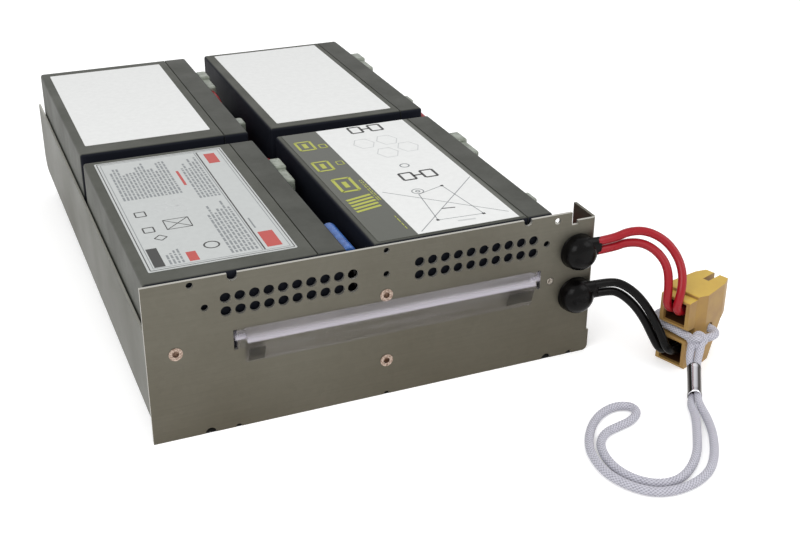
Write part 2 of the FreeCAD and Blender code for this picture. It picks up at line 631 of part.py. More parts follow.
def make_lid(row, column):
    """Glued lid with a well round each terminal and a raised boss in it."""
    corner = battery_origin(row, column)
    inner = BATTERY_WIDTH - LID_WIDTH
    lid = box(inner, 0, 0, BATTERY_WIDTH, BATTERY_LENGTH, BATTERY_HEIGHT)
    edges = [e for e in lid.Edges
             if e.BoundBox.XMin > BATTERY_WIDTH - 0.1 or e.BoundBox.XLength > LID_WIDTH - 0.1]
    lid = lid.makeFillet(CASE_EDGE_RADIUS, edges)
    for offset in BLADE_OFFSETS.values():
        height = BATTERY_HEIGHT - BLADE_DROP
        well = box(BATTERY_WIDTH - WELL_DEPTH, offset - WELL_WIDTH / 2, height - WELL_HEIGHT / 2,
                   BATTERY_WIDTH + 1, offset + WELL_WIDTH / 2, height + WELL_HEIGHT / 2)
        boss = cylinder(PAD_BOSS_RADIUS, Vector(BATTERY_WIDTH - WELL_DEPTH - 1, offset, height),
                        Vector(BATTERY_WIDTH - WELL_DEPTH / 2, offset, height))
        slot = blade_solid(offset, height, FIT_CLEARANCE)
        lid = lid.cut(well).fuse(boss).cut(slot)
    for step in range(3):
        vent = (step - 1) * BATTERY_LENGTH / 6 + BATTERY_LENGTH / 2
        groove = box(BATTERY_WIDTH - 0.5, vent - 9, BATTERY_HEIGHT / 2 - 12, BATTERY_WIDTH + 1, vent + 9,
                     BATTERY_HEIGHT / 2 + 12)
        plate = box(BATTERY_WIDTH - 1, vent - 8.4, BATTERY_HEIGHT / 2 - 11.4, BATTERY_WIDTH, vent + 8.4,
                    BATTERY_HEIGHT / 2 + 11.4)
        lid = lid.cut(groove.cut(plate))
    lid = lid.removeSplitter()
    lid.translate(corner)
    return lid


def blade_solid(offset, height, grow):
    """One blade terminal, or with a positive grow the slot for it."""
    root = BATTERY_WIDTH - WELL_DEPTH - 2
    tip = BATTERY_WIDTH + BLADE_LENGTH
    return box(root - grow, offset - BLADE_THICKNESS / 2 - grow, height - BLADE_WIDTH / 2 - grow,
               tip, offset + BLADE_THICKNESS / 2 + grow, height + BLADE_WIDTH / 2 + grow)


def make_terminals(row, column):
    """Two blade terminals with a locking hole."""
    corner = battery_origin(row, column)
    blades = []
    for offset in BLADE_OFFSETS.values():
        height = BATTERY_HEIGHT - BLADE_DROP
        blade = blade_solid(offset, height, 0)
        middle = BATTERY_WIDTH + BLADE_LENGTH * 0.55
        hole = cylinder(0.85, Vector(middle, offset - 1, height), Vector(middle, offset + 1, height))
        blade = blade.cut(hole)
        blade.translate(corner)
        blades.append(blade)
    return Part.Compound(blades)


def make_label(row, column):
    """Printed label on the top of a case."""
    left, right, front, rear = LABEL_MARGINS["%s_%s" % (row, column)]
    corner = battery_origin(row, column)
    seam = BATTERY_WIDTH - LID_WIDTH - SEAM_WIDTH
    label = box(left, front, BATTERY_HEIGHT, seam - right, BATTERY_LENGTH - rear,
                BATTERY_HEIGHT + LABEL_THICKNESS)
    upright = [e for e in label.Edges if e.BoundBox.ZLength > LABEL_THICKNESS / 2]
    label = label.makeFillet(LABEL_CORNER_RADIUS, upright)
    label.translate(corner)
    return label


def make_pads():
    """Foam pads between the floor and the batteries."""
    pads = []
    for row, column in BATTERIES:
        corner = battery_origin(row, column)
        x = corner.x + (BATTERY_WIDTH - PAD_WIDTH) / 2
        y = corner.y + (BATTERY_LENGTH - PAD_LENGTH) / 2
        pads.append(box(x, y, FLOOR_TOP, x + PAD_WIDTH, y + PAD_LENGTH, corner.z))
    return Part.Compound(pads)


# Terminal sleeves


def sleeve_slot(offset):
    """Room for a blade inside a sleeve, in the battery's own frame."""
    height = BATTERY_HEIGHT - BLADE_DROP
    return blade_solid(offset, height, SLEEVE_GAP).fuse(
        box(BATTERY_WIDTH - 2, offset - BLADE_THICKNESS / 2 - SLEEVE_GAP,
            height - BLADE_WIDTH / 2 - SLEEVE_GAP, BATTERY_WIDTH + BLADE_LENGTH + SLEEVE_GAP,
            offset + BLADE_THICKNESS / 2 + SLEEVE_GAP, height + BLADE_WIDTH / 2 + SLEEVE_GAP))


def flag_sleeve_span():
    """Front and rear end of a flag sleeve along the battery."""
    middle = BLADE_OFFSETS["rear"]
    rear = middle + STRAIGHT_WIDTH / 2
    return rear - FLAG_LENGTH, rear


def make_flag_sleeve(row, column):
    """Nylon sleeve that lies along the lid over the rear terminal."""
    front, rear = flag_sleeve_span()
    x = BATTERY_WIDTH + SLEEVE_GAP
    top = BATTERY_HEIGHT - FLAG_DROP
    wide = rounded_block(x, rear - STRAIGHT_WIDTH - 3, top - FLAG_HEIGHT, x + FLAG_DEPTH, rear, top,
                         SLEEVE_RADIUS)
    throat = rounded_block(x + 0.4, front, top - FLAG_HEIGHT + 1.6, x + FLAG_DEPTH - 0.4,
                           rear - STRAIGHT_WIDTH, top - 1.6, SLEEVE_RADIUS)
    sleeve = wide.fuse(throat).removeSplitter().cut(sleeve_slot(BLADE_OFFSETS["rear"]))
    sleeve.translate(battery_origin(row, column))
    return sleeve


def make_straight_sleeve(row, column):
    """Nylon sleeve that hangs down the lid from the front terminal."""
    middle = BLADE_OFFSETS["front"]
    x = BATTERY_WIDTH + SLEEVE_GAP
    top = BATTERY_HEIGHT - STRAIGHT_DROP
    sleeve = rounded_block(x, middle - STRAIGHT_WIDTH / 2, top - STRAIGHT_LENGTH, x + STRAIGHT_DEPTH,
                           middle + STRAIGHT_WIDTH / 2, top, SLEEVE_RADIUS)
    sleeve = sleeve.cut(sleeve_slot(middle))
    sleeve.translate(battery_origin(row, column))
    return sleeve


def splice_axis():
    """Axis of the splice sleeve on the front left battery's front terminal."""
    corner = battery_origin("front", "left")
    return (corner.x + BATTERY_WIDTH + SLEEVE_GAP + SPLICE_RADIUS,
            corner.z + BATTERY_HEIGHT - BLADE_DROP + 1.5)


def make_splice_sleeve():
    """Shrunk sleeve along the gap, over the front left terminal and its crimp."""
    x, z = splice_axis()
    sleeve = cylinder(SPLICE_RADIUS, Vector(x, SPLICE_FRONT, z), Vector(x, SPLICE_FRONT + SPLICE_LENGTH, z))
    sleeve = sleeve.makeFillet(SPLICE_RADIUS * 0.3, [e for e in sleeve.Edges if e.Length > SPLICE_RADIUS * 4
                                                    and e.BoundBox.YLength < 0.1])
    slot = sleeve_slot(BLADE_OFFSETS["front"])
    slot.translate(battery_origin("front", "left"))
    return sleeve.cut(slot)


# Leads inside the tray


def inner_leads():
    """Routes of the jumpers and of the leads to the boots, as name and points."""
    front, rear = flag_sleeve_span()
    flag_x = BATTERY_WIDTH + SLEEVE_GAP + FLAG_DEPTH / 2
    flag_z = BATTERY_HEIGHT - FLAG_DROP - FLAG_HEIGHT / 2
    drop_x = BATTERY_WIDTH + SLEEVE_GAP + STRAIGHT_DEPTH / 2
    drop_z = BATTERY_HEIGHT - STRAIGHT_DROP - STRAIGHT_LENGTH
    drop_y = BLADE_OFFSETS["front"]
    routes = {}
    for column in ("left", "right"):
        lower = battery_origin("front", column)
        upper = battery_origin("rear", column)
        start = (lower.x + flag_x, lower.y + rear, lower.z + flag_z)
        end = (upper.x + drop_x, upper.y + drop_y, upper.z + drop_z)
        routes["jumper_" + column] = (
            start, (start[0], start[1] + 12, start[2]), (start[0] + 1, start[1] + 24, start[2] - 6),
            (start[0] + 1.5, start[1] + 36, start[2] - 16), (end[0] + 1.5, end[1] - 18, end[2] - 11),
            (end[0] + 0.6, end[1] - 7, end[2] - 15), (end[0], end[1], end[2] - 9), end)
    passage_y = ROW_Y["rear"] - ROW_GAP / 2
    gap_x = COLUMN_X["left"] + BATTERY_WIDTH + COLUMN_GAP / 2
    channel_x = BOOT_X + LEAD_PITCH / 2
    inner_x = BOOT_X - LEAD_PITCH / 2
    boot_y = PANEL_BACK + BOOT_FLANGE_THICKNESS
    red, black = BOOT_HEIGHTS["upper"], BOOT_HEIGHTS["lower"]
    splice_x, splice_z = splice_axis()
    corner = battery_origin("rear", "left")
    routes["lead_red_left"] = (
        (corner.x + flag_x, corner.y + front, corner.z + flag_z),
        (corner.x + flag_x, corner.y + front - 11, corner.z + flag_z),
        (gap_x + 1, corner.y + front - 26, 60.0), (gap_x + 3, corner.y + front - 42, 46.0),
        (gap_x + 3, corner.y + front - 60, 37.0), (gap_x + 2.8, corner.y + 18, 35.0),
        (gap_x + 3.2, corner.y + 2.6, 35.6), (gap_x + 9, passage_y, 36.0), (gap_x + 30, passage_y + 0.4, 36.6),
        (gap_x + 62, passage_y - 0.3, 36.0), (gap_x + 92, passage_y + 0.3, 36.4),
        (channel_x - 9, passage_y - 0.2, 37.0), (channel_x, passage_y - 9, 38.0),
        (channel_x + 0.3, passage_y - 32, 40.6), (channel_x - 0.2, passage_y - 66, 46.0),
        (channel_x + 0.2, 62.0, 51.6), (channel_x, 34.0, 56.6), (channel_x, 16.0, red),
        (channel_x, boot_y, red))
    corner = battery_origin("rear", "right")
    routes["lead_red_right"] = (
        (corner.x + flag_x, corner.y + front, corner.z + flag_z),
        (corner.x + flag_x, corner.y + front - 11, corner.z + flag_z),
        (corner.x + flag_x + 4, corner.y + front - 26, 70.0), (inner_x, 206.0, 66.6),
        (inner_x + 0.4, 170.0, 65.0), (inner_x + 0.2, 134.0, 63.6), (inner_x + 0.6, 98.0, 63.0),
        (inner_x + 0.1, 62.0, 61.6), (inner_x + 0.3, 30.0, 59.6), (inner_x, 14.0, red),
        (inner_x, boot_y, red))
    routes["lead_black_left"] = (
        (splice_x, SPLICE_FRONT, splice_z), (splice_x, 7.0, splice_z),
        (splice_x + 0.2, 4.6, splice_z - 4.6), (splice_x + 0.5, 4.9, splice_z - 11),
        (splice_x + 0.8, 5.2, 50.0), (splice_x + 1.1, 5.8, 37.0), (splice_x + 0.9, 9.0, 27.6),
        (splice_x + 1.0, 16.0, 21.6),
        (gap_x - 0.2, 26.0, 20.6), (gap_x + 0.3, 60.0, 20.0), (gap_x - 0.2, 96.0, 20.2),
        (gap_x, 130.0, 20.0), (gap_x + 0.9, passage_y - 8, 20.4), (gap_x + 8, passage_y, 21.0),
        (gap_x + 30, passage_y + 0.3, 21.6), (gap_x + 62, passage_y - 0.3, 21.2),
        (gap_x + 92, passage_y + 0.2, 21.6), (channel_x - 8, passage_y, 22.0),
        (channel_x + 0.4, passage_y - 9, 22.4), (channel_x, passage_y - 32, 22.0),
        (channel_x + 0.4, 88.0, 22.6), (channel_x + 0.2, 54.0, 26.0), (channel_x + 0.4, 30.0, 31.6),
        (channel_x, 15.0, black), (channel_x, boot_y, black))
    corner = battery_origin("front", "right")
    drop = Vector(corner.x + drop_x, corner.y + drop_y, corner.z + drop_z)
    routes["lead_black_right"] = (
        (drop.x, drop.y, drop.z), (drop.x, drop.y, drop.z - 8),
        (drop.x + 2, drop.y - 7, drop.z - 15.6), (inner_x - 1.6, 19.0, black + 0.6),
        (inner_x, 10.0, black), (inner_x, boot_y, black))
    return routes


# Boots


def make_boot(which):
    """Rubber boot: a domed cap on the panel with a neck, a rear flange and a spout for two leads."""
    z = BOOT_HEIGHTS[which]
    cap = cylinder(BOOT_RADIUS, Vector(BOOT_X, -BOOT_RISE, z), Vector(BOOT_X, 0, z))
    rim = [e for e in cap.Edges if e.BoundBox.YMax < -BOOT_RISE + 0.1]
    cap = cap.makeFillet(BOOT_EDGE_RADIUS, rim)
    neck = cylinder(BOOT_HOLE_RADIUS - FIT_CLEARANCE, Vector(BOOT_X, -1, z), Vector(BOOT_X, PANEL_BACK + 0.5, z))
    flange = cylinder(BOOT_FLANGE_RADIUS, Vector(BOOT_X, PANEL_BACK, z),
                      Vector(BOOT_X, PANEL_BACK + BOOT_FLANGE_THICKNESS, z))
    return cap.fuse([neck, flange, spout(z + SPOUT_RISE)]).removeSplitter()


def spout(z):
    """Flat-sided spout that points along +X and holds two leads one above the other."""
    radius = WIRE_RADIUS + SPOUT_WALL
    half = WIRE_PITCH / 2
    y = -WIRE_STANDOFF
    low = cylinder(radius, Vector(BOOT_X, y, z - half), Vector(BOOT_X + SPOUT_LENGTH, y, z - half))
    high = cylinder(radius, Vector(BOOT_X, y, z + half), Vector(BOOT_X + SPOUT_LENGTH, y, z + half))
    web = box(BOOT_X, y - radius, z - half, BOOT_X + SPOUT_LENGTH, y + radius, z + half)
    return low.fuse([high, web])


def spout_end(which, level):
    """Where a lead leaves a spout."""
    z = BOOT_HEIGHTS[which] + SPOUT_RISE + level * WIRE_PITCH / 2
    return (BOOT_X + SPOUT_LENGTH, -WIRE_STANDOFF, z)


# Connector


def connector_place(length, across, up):
    """A point of the connector's own frame, in the part's frame."""
    turn = math.radians(CONNECTOR_TURN)
    x = CONNECTOR_FOOT[0] + length * math.cos(turn) + across * math.sin(turn)
    y = CONNECTOR_FOOT[1] + length * math.sin(turn) - across * math.cos(turn)
    return (x, y, up)


def connector_frame(shape):
    """Put a shape drawn with x along the contacts, y across and z up where the connector lies."""
    turn = math.radians(CONNECTOR_TURN)
    cos, sin = math.cos(turn), math.sin(turn)
    matrix = FreeCAD.Matrix(cos, -sin, 0, CONNECTOR_FOOT[0], sin, cos, 0, CONNECTOR_FOOT[1],
                            0, 0, 1, 0, 0, 0, 0, 1)
    return shape.transformed(matrix)


def cable_centres():
    """Heights of the lower and the upper cable cavity."""
    top = CONNECTOR_WIDTH - CABLE_TUBE_SETBACK
    return CABLE_TUBE_HEIGHT / 2, top - CABLE_TUBE_HEIGHT / 2


def waist_middle():
    """Height of the middle of the waist between the cable tubes."""
    return sum(cable_centres()) / 2


def mating_ends():
    """Length at the mating end of the lower half, in its slanted middle, and of the upper half."""
    lower = cable_centres()[0]
    slope = (CONNECTOR_LENGTH - CONNECTOR_STEP - CONNECTOR_FOOT_LENGTH) / (CONNECTOR_WIDTH / 2)
    return CONNECTOR_FOOT_LENGTH + slope * lower, CONNECTOR_LENGTH


def side_reach():
    """Half the housing's thickness at the widest place of its sides."""
    return CONNECTOR_THICKNESS / 2 + SIDE_BULGE


def housing_plan():
    """Prism of the housing's outline from above: flared sides that narrow toward the mating end."""
    half = CONNECTOR_THICKNESS / 2
    start, widest, shoulder = SIDE_BULGE_SPAN
    side = ((-1, half), (start, half), (widest, side_reach()), (shoulder, half + 0.5),
            (CONNECTOR_LENGTH + 0.2, MATING_END_WIDTH / 2))
    corners = side[1:4]
    outline = [(l, t, -1) for l, t in side] + [(l, -t, -1) for l, t in reversed(side)]
    prism = polygon(outline).extrude(Vector(0, 0, CONNECTOR_WIDTH + 2))
    edges = [e for e in prism.Edges if e.BoundBox.ZLength > 1
             and any(abs(e.BoundBox.XMin - l) < 0.01 for l, t in corners)]
    return prism.makeFillet(HOUSING_EDGE_RADIUS, edges)


def make_housing():
    """Two-pole housing: cable tubes with a waist between them, flared sides and a slanted mating end."""
    reach = side_reach() + 1
    lower, upper = cable_centres()
    tube_half = CABLE_TUBE_HEIGHT / 2
    high_end = CONNECTOR_LENGTH
    middle = CONNECTOR_WIDTH / 2
    root = CABLE_TUBE_LENGTH
    foot = CONNECTOR_FOOT_LENGTH
    step = high_end - CONNECTOR_STEP
    corners = ((0, lower - tube_half), (foot, 0), (high_end, middle), (high_end, CONNECTOR_WIDTH),
               (root, CONNECTOR_WIDTH), (0, upper + tube_half), (0, upper - tube_half),
               (0, lower + tube_half))
    outline = ((0, lower - tube_half), (foot, 0), (step, middle), (high_end, middle),
               (high_end, CONNECTOR_WIDTH), (root, CONNECTOR_WIDTH), (root, upper + tube_half),
               (0, upper + tube_half), (0, upper - tube_half), (root, upper - tube_half),
               (root, lower + tube_half), (0, lower + tube_half))
    body = polygon([(l, -reach, w) for l, w in outline]).extrude(Vector(0, 2 * reach, 0))
    edges = [e for e in body.Edges if e.BoundBox.YLength > reach and near_corner(e, corners)]
    body = body.makeFillet(HOUSING_EDGE_RADIUS, edges).common(housing_plan())
    cavity = CABLE_CAVITY / 2
    hole = CONTACT_HOLE / 2
    mouth = MATING_CAVITY_WIDTH / 2
    rise = MATING_CAVITY_HEIGHT / 2
    for centre, end, depth in zip((lower, upper), mating_ends(), MATING_CAVITY_DEPTHS):
        body = body.cut(box(-1, -cavity, centre - cavity, CABLE_CAVITY_DEPTH, cavity, centre + cavity))
        body = body.cut(box(1, -mouth, centre - hole, end - 1, mouth, centre + hole))
        body = body.cut(box(end - depth, -mouth, centre - rise, end + CONNECTOR_STEP, mouth, centre + rise))
    up = waist_middle()
    hole = cylinder(CORD_HOLE_RADIUS, Vector(CORD_HOLE_SETBACK, -reach, up),
                    Vector(CORD_HOLE_SETBACK, reach, up))
    slot = box(high_end - LATCH_SLOT_LENGTH, -LATCH_SLOT_WIDTH / 2, upper, high_end + 1, LATCH_SLOT_WIDTH / 2,
               CONNECTOR_WIDTH + 1)
    return connector_frame(body.cut(hole).cut(slot))


def near_corner(edge, corners):
    """Whether an edge runs through one of the outline's listed corners."""
    place = edge.Vertexes[0].Point
    return any(math.hypot(place.x - l, place.z - w) < 0.01 for l, w in corners)


def make_contacts():
    """Two plated contacts: a crimp barrel for a pair of leads and a flat blade with a sprung tip."""
    contacts = []
    half = CONTACT_HOLE / 2 - 0.3
    for centre, end in zip(cable_centres(), mating_ends()):
        barrel = box(CABLE_CAVITY_DEPTH - 2, -half - 1.2, centre - half, CABLE_CAVITY_DEPTH + 5, half + 1.2,
                     centre + half)
        barrel = barrel.makeFillet(2.2, [e for e in barrel.Edges if e.BoundBox.XLength > 6])
        low = centre - half
        blade = box(CABLE_CAVITY_DEPTH + 4, -CONTACT_BLADE_WIDTH / 2, low, end - 3, CONTACT_BLADE_WIDTH / 2,
                    low + CONTACT_BLADE_THICKNESS)
        nose = [e for e in blade.Edges if e.BoundBox.XMin > end - 3.1 and e.BoundBox.YLength > 5]
        blade = blade.makeFillet(CONTACT_BLADE_THICKNESS * 0.45, nose)
        contacts.append(connector_frame(barrel.fuse(blade).removeSplitter()))
    return Part.Compound(contacts)


def wire_route(which, level, across, cable, middle_points):
    """Whole route of a free lead: spout, chosen points, then the cavity and the contact's barrel."""
    up = cable_centres()[cable]
    inside = connector_place(3.2, across, up)
    barrel = connector_place(CABLE_CAVITY_DEPTH - 2, across, up)
    start = spout_end(which, level)
    ahead = (start[0] + SPOUT_EXIT_RUN, start[1], start[2])
    return (start, ahead) + from_boots(middle_points) + (inside, barrel)


def free_leads():
    """Routes of the four free leads."""
    offset = WIRE_RADIUS + 0.15
    return {"red_wire_1": wire_route("upper", 1, offset, 1, RED_ROUTE_1),
            "red_wire_2": wire_route("upper", -1, -offset, 1, RED_ROUTE_2),
            "black_wire_1": wire_route("lower", 1, offset, 0, BLACK_ROUTE_1),
            "black_wire_2": wire_route("lower", -1, -offset, 0, BLACK_ROUTE_2)}


# Pull cord


def ferrule_directions():
    """Unit vector along the ferrule and the level one across it."""
    along = FERRULE_BOTTOM.sub(FERRULE_TOP)
    along.normalize()
    across = along.cross(Vector(0, 0, 1))
    across.normalize()
    return along, across


def make_ferrule():
    """Oval crimp ferrule over two strands, flared a little at both ends."""
    along, across = ferrule_directions()
    length = FERRULE_BOTTOM.sub(FERRULE_TOP).Length
    up = across.cross(along)

    offset = CORD_RADIUS + FIT_CLEARANCE

    def oval(radius, start, reach):
        first = Part.makeCylinder(radius, reach, Vector(start, -offset, 0), Vector(1, 0, 0))
        last = Part.makeCylinder(radius, reach, Vector(start, offset, 0), Vector(1, 0, 0))
        web = box(start, -offset, -radius, start + reach, offset, radius)
        return first.fuse([last, web]).removeSplitter()

    outer = CORD_RADIUS + FERRULE_WALL
    shell = oval(outer, 0, length)
    for start in (0, length - FERRULE_MOUTH):
        shell = shell.fuse(oval(outer + FERRULE_FLARE, start, FERRULE_MOUTH))
    shell = shell.removeSplitter().cut(oval(CORD_RADIUS, -1, FERRULE_MOUTH + 1))
    shell = shell.cut(oval(CORD_RADIUS, length - FERRULE_MOUTH, FERRULE_MOUTH + 1))
    matrix = FreeCAD.Matrix(along.x, across.x, up.x, FERRULE_TOP.x, along.y, across.y, up.y, FERRULE_TOP.y,
                            along.z, across.z, up.z, FERRULE_TOP.z, 0, 0, 0, 1)
    return shell.transformed(matrix)


def ferrule_mouth(point, inward, side):
    """Centre of a strand's end inside a ferrule's mouth."""
    along, across = ferrule_directions()
    place = point + along * inward + across * (side * (CORD_RADIUS + FIT_CLEARANCE))
    return (place.x, place.y, place.z)


def knot_centre():
    """Centre of the knot, on the near face beside the waist."""
    across = CONNECTOR_THICKNESS / 2 + KNOT_RADIUS + SLEEVE_GAP
    return Vector(*connector_place(2.5, across, waist_middle() - 1.0))


def cord_wrap_route():
    """Cord from the knot through the housing's hole, behind it and back through the waist."""
    face = CONNECTOR_THICKNESS / 2
    side = side_reach()
    up = waist_middle()
    middle = face + KNOT_RADIUS + SLEEVE_GAP
    hole = CORD_HOLE_SETBACK
    return (connector_place(5.0, middle, up - 1.0), connector_place(hole - 6.6, side + 5.6, up - 0.6),
            connector_place(hole - 1.0, side + 4.4, up - 0.2), connector_place(hole, side - 2.4, up),
            connector_place(hole, -side - 0.2, up), connector_place(hole - 2.8, -side - 4.6, up),
            connector_place(hole - 8.4, -side - 5.0, up), connector_place(4.4, -face - 4.0, up),
            connector_place(3.2, -face + 3.6, up), connector_place(2.4, 3.6, up - 0.2),
            connector_place(1.8, middle - 1.8, up - 0.6))


def make_cord_wrap(knot):
    """Loop of cord round the housing's web, from the knot back to the knot."""
    return tube("cord_wrap", cord_wrap_route(), CORD_RADIUS).cut(knot)


def make_cord_strands(knot):
    """Two strands from the knot down to the ferrule's upper mouth."""
    strands = []
    centre = knot_centre()
    along, across = ferrule_directions()
    for side in (-1, 1):
        mouth = Vector(*ferrule_mouth(FERRULE_TOP, FERRULE_MOUTH, side))
        above = mouth - along * (FERRULE_MOUTH + CORD_EXIT_RUN)
        start = centre + across * (side * (CORD_RADIUS + FIT_CLEARANCE))
        strand = tube("cord_strand", ((start.x, start.y, start.z), (above.x, above.y, above.z),
                                      (mouth.x, mouth.y, mouth.z)), CORD_RADIUS)
        strands.append(strand.cut(knot))
    return strands


def make_pull_cord():
    """The cord's loop on the floor, from the ferrule's lower mouth round and back to it."""
    leave = (ferrule_mouth(FERRULE_BOTTOM, -FERRULE_MOUTH, 1), ferrule_mouth(FERRULE_BOTTOM, CORD_EXIT_RUN, 1))
    arrive = (ferrule_mouth(FERRULE_BOTTOM, CORD_EXIT_RUN, -1),
              ferrule_mouth(FERRULE_BOTTOM, -FERRULE_MOUTH, -1))
    return tube("pull_cord", leave + from_boots(CORD_ROUTE) + arrive, CORD_RADIUS)


def build():
    """Make every sub-part and write its file."""
    save("tray", make_tray())
    save("front_panel", make_panel())
    save("panel_rivets", make_panel_rivets())
    save("flange_rivets", make_flange_rivets())
    save("pull_strap", make_strap())
    save("foam_pads", make_pads())
    for row, column in BATTERIES:
        name = "battery_%s_%s_" % (row, column)
        save(name + "case", make_case(row, column))
        save(name + "lid", make_lid(row, column))
        save(name + "terminals", make_terminals(row, column))
        save(name + "label", make_label(row, column))
        save(name + "flag_sleeve", make_flag_sleeve(row, column))
        if (row, column) != ("front", "left"):
            save(name + "straight_sleeve", make_straight_sleeve(row, column))
    save("splice_sleeve", make_splice_sleeve())
    for name, route in inner_leads().items():
        save(name, tube(name, route, LEAD_RADIUS))
    for which in BOOT_HEIGHTS:
        save("boot_" + which, make_boot(which))
    for name, route in free_leads().items():
        save(name, tube(name, route, WIRE_RADIUS))
    save("connector_housing", make_housing())
    save("connector_contacts", make_contacts())
    save("cord_ferrule", make_ferrule())
    knot = Part.makeSphere(KNOT_RADIUS, knot_centre())
    save("cord_knot", knot)
    save("cord_wrap", make_cord_wrap(knot))
    save("cord_strands", Part.Compound(make_cord_strands(knot)))
    save("pull_cord", make_pull_cord())


build()
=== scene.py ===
"""Looks of a battery cartridge for a rack UPS: finishes, cords, printed labels, studio and camera.

Lengths are written in millimetres from the bottom left corner of the panel's front face, and one
function turns them to metres in the model's frame.  The routes of the free leads and the pull cord,
and the heights and places that a finish reads, are written in metres in that frame, apart from
the foot of the connector.
"""
from __future__ import annotations

import logging
import math
from dataclasses import dataclass, field
from enum import Enum
from typing import Any, Sequence

import bmesh
import bpy
import numpy as np
from mathutils import Matrix, Vector

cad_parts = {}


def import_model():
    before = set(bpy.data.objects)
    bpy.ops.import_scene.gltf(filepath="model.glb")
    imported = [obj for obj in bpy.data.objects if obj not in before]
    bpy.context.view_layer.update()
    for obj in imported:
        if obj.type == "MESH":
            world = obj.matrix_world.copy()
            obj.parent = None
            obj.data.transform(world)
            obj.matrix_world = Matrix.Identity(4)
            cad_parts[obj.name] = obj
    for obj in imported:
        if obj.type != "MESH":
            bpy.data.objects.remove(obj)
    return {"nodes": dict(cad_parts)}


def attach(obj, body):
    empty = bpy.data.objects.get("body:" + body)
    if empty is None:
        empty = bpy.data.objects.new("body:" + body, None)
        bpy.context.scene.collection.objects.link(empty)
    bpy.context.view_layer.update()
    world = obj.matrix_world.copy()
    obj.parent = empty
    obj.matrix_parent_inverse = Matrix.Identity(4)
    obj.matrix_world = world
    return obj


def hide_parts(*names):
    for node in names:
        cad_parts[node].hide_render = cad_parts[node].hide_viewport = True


LOG = logging.getLogger("battery_cartridge")
MM = 0.001
CORNER = np.array((114.4, 158.5, 0.0))
BODY = "root"
UP = np.array((0.0, 0.0, 1.0))

Point = tuple[float, float, float]
Route = tuple[Point, ...]


def place(points: Any) -> np.ndarray:
    """Millimetres from the panel's corner, as metres in the model's frame.

    Args:
        points: One point or an array of points with x, y and z last.

    Returns:
        The same array in metres, moved by the frame's origin.
    """
    return (np.asarray(points, float) - CORNER) * MM


def linear(hex_colour: str) -> tuple[float, float, float, float]:
    """Turns an sRGB hex value to the linear colour that Blender's sockets take.

    Args:
        hex_colour: Six digits after a hash sign.

    Returns:
        Linear red, green and blue, and an alpha of one.
    """
    coded = np.array([int(hex_colour[i:i + 2], 16) for i in (1, 3, 5)]) / 255.0
    flat = np.where(coded <= 0.04045, coded / 12.92, ((coded + 0.055) / 1.055) ** 2.4)
    return (*(float(v) for v in flat), 1.0)


def per(size_mm: float) -> float:
    """Texture scale, in cells per metre, of a pattern whose cells are this many millimetres wide."""
    return 1.0 / (size_mm * MM)


def node(tree: bpy.types.NodeTree, kind: str, sockets: dict[Any, Any] | None = None,
         stops: Sequence[tuple[float, str]] = (), **settings: Any) -> bpy.types.Node:
    """Adds one node with its settings, socket values and links.

    Args:
        tree: The material's node tree.
        kind: Blender's name for the node type.
        sockets: Socket name or number to a value, or to another node's output to link.
        stops: For a colour ramp, its positions and hex colours.
        **settings: Properties of the node itself.

    Returns:
        The new node.
    """
    made = tree.nodes.new(kind)
    for name, value in settings.items():
        setattr(made, name, value)
    for key, value in (sockets or {}).items():
        if isinstance(value, bpy.types.NodeSocket):
            tree.links.new(value, made.inputs[key])
        else:
            made.inputs[key].default_value = value
    if stops:
        elements = made.color_ramp.elements
        while len(elements) < len(stops):
            elements.new(0.5)
        for element, (position, colour) in zip(elements, stops):
            element.position = position
            element.color = linear(colour)
    return made


# Shapes on grids


def add_mesh(name: str, points: np.ndarray, faces: np.ndarray, smooth: bool = True) -> bpy.types.Object:
    """Puts points and faces of equal size into a new mesh object at the origin.

    Args:
        name: The piece's name.
        points: Vertices in metres, one per row.
        faces: Vertex numbers, one face per row.
        smooth: Whether the faces are shaded smooth.

    Returns:
        The object, linked to the scene.
    """
    mesh = bpy.data.meshes.new(name)
    count, size = faces.shape
    mesh.vertices.add(len(points))
    mesh.vertices.foreach_set("co", np.ascontiguousarray(points, np.float32).ravel())
    mesh.loops.add(count * size)
    mesh.loops.foreach_set("vertex_index", np.ascontiguousarray(faces, np.int32).ravel())
    mesh.polygons.add(count)
    mesh.polygons.foreach_set("loop_start", np.arange(0, count * size, size, dtype=np.int32))
    mesh.polygons.foreach_set("use_smooth", np.full(count, smooth))
    mesh.update(calc_edges=True)
    mesh.validate()
    made = bpy.data.objects.new(name, mesh)
    bpy.context.scene.collection.objects.link(made)
    return made


def grid_faces(rows: int, columns: int, wrap: bool) -> np.ndarray:
    """Four-sided faces of a grid of points, row by row.

    Args:
        rows: Points along the first direction.
        columns: Points along the second direction.
        wrap: Whether the second direction closes on itself.

    Returns:
        Vertex numbers, one face per row, that face outwards where the second direction turns
        to the left about the first.
    """
    i, j = np.meshgrid(np.arange(rows - 1), np.arange(columns if wrap else columns - 1), indexing="ij")
    k = (j + 1) % columns
    quads = np.stack((i * columns + j, i * columns + k, (i + 1) * columns + k, (i + 1) * columns + j), -1)
    return quads.reshape(-1, 4)


def frames(line: np.ndarray) -> tuple[np.ndarray, np.ndarray, np.ndarray]:
    """Directions along a line: the tangent, the side (up cross tangent) and what is square to both.

    Args:
        line: Points of the line, one per row.  It never runs straight up.

    Returns:
        Three arrays of unit vectors, one row for each point.
    """
    tangent = np.gradient(line, axis=0)
    tangent /= np.linalg.norm(tangent, axis=1, keepdims=True)
    side = np.cross(UP, tangent)
    side /= np.linalg.norm(side, axis=1, keepdims=True)
    return tangent, side, np.cross(tangent, side)


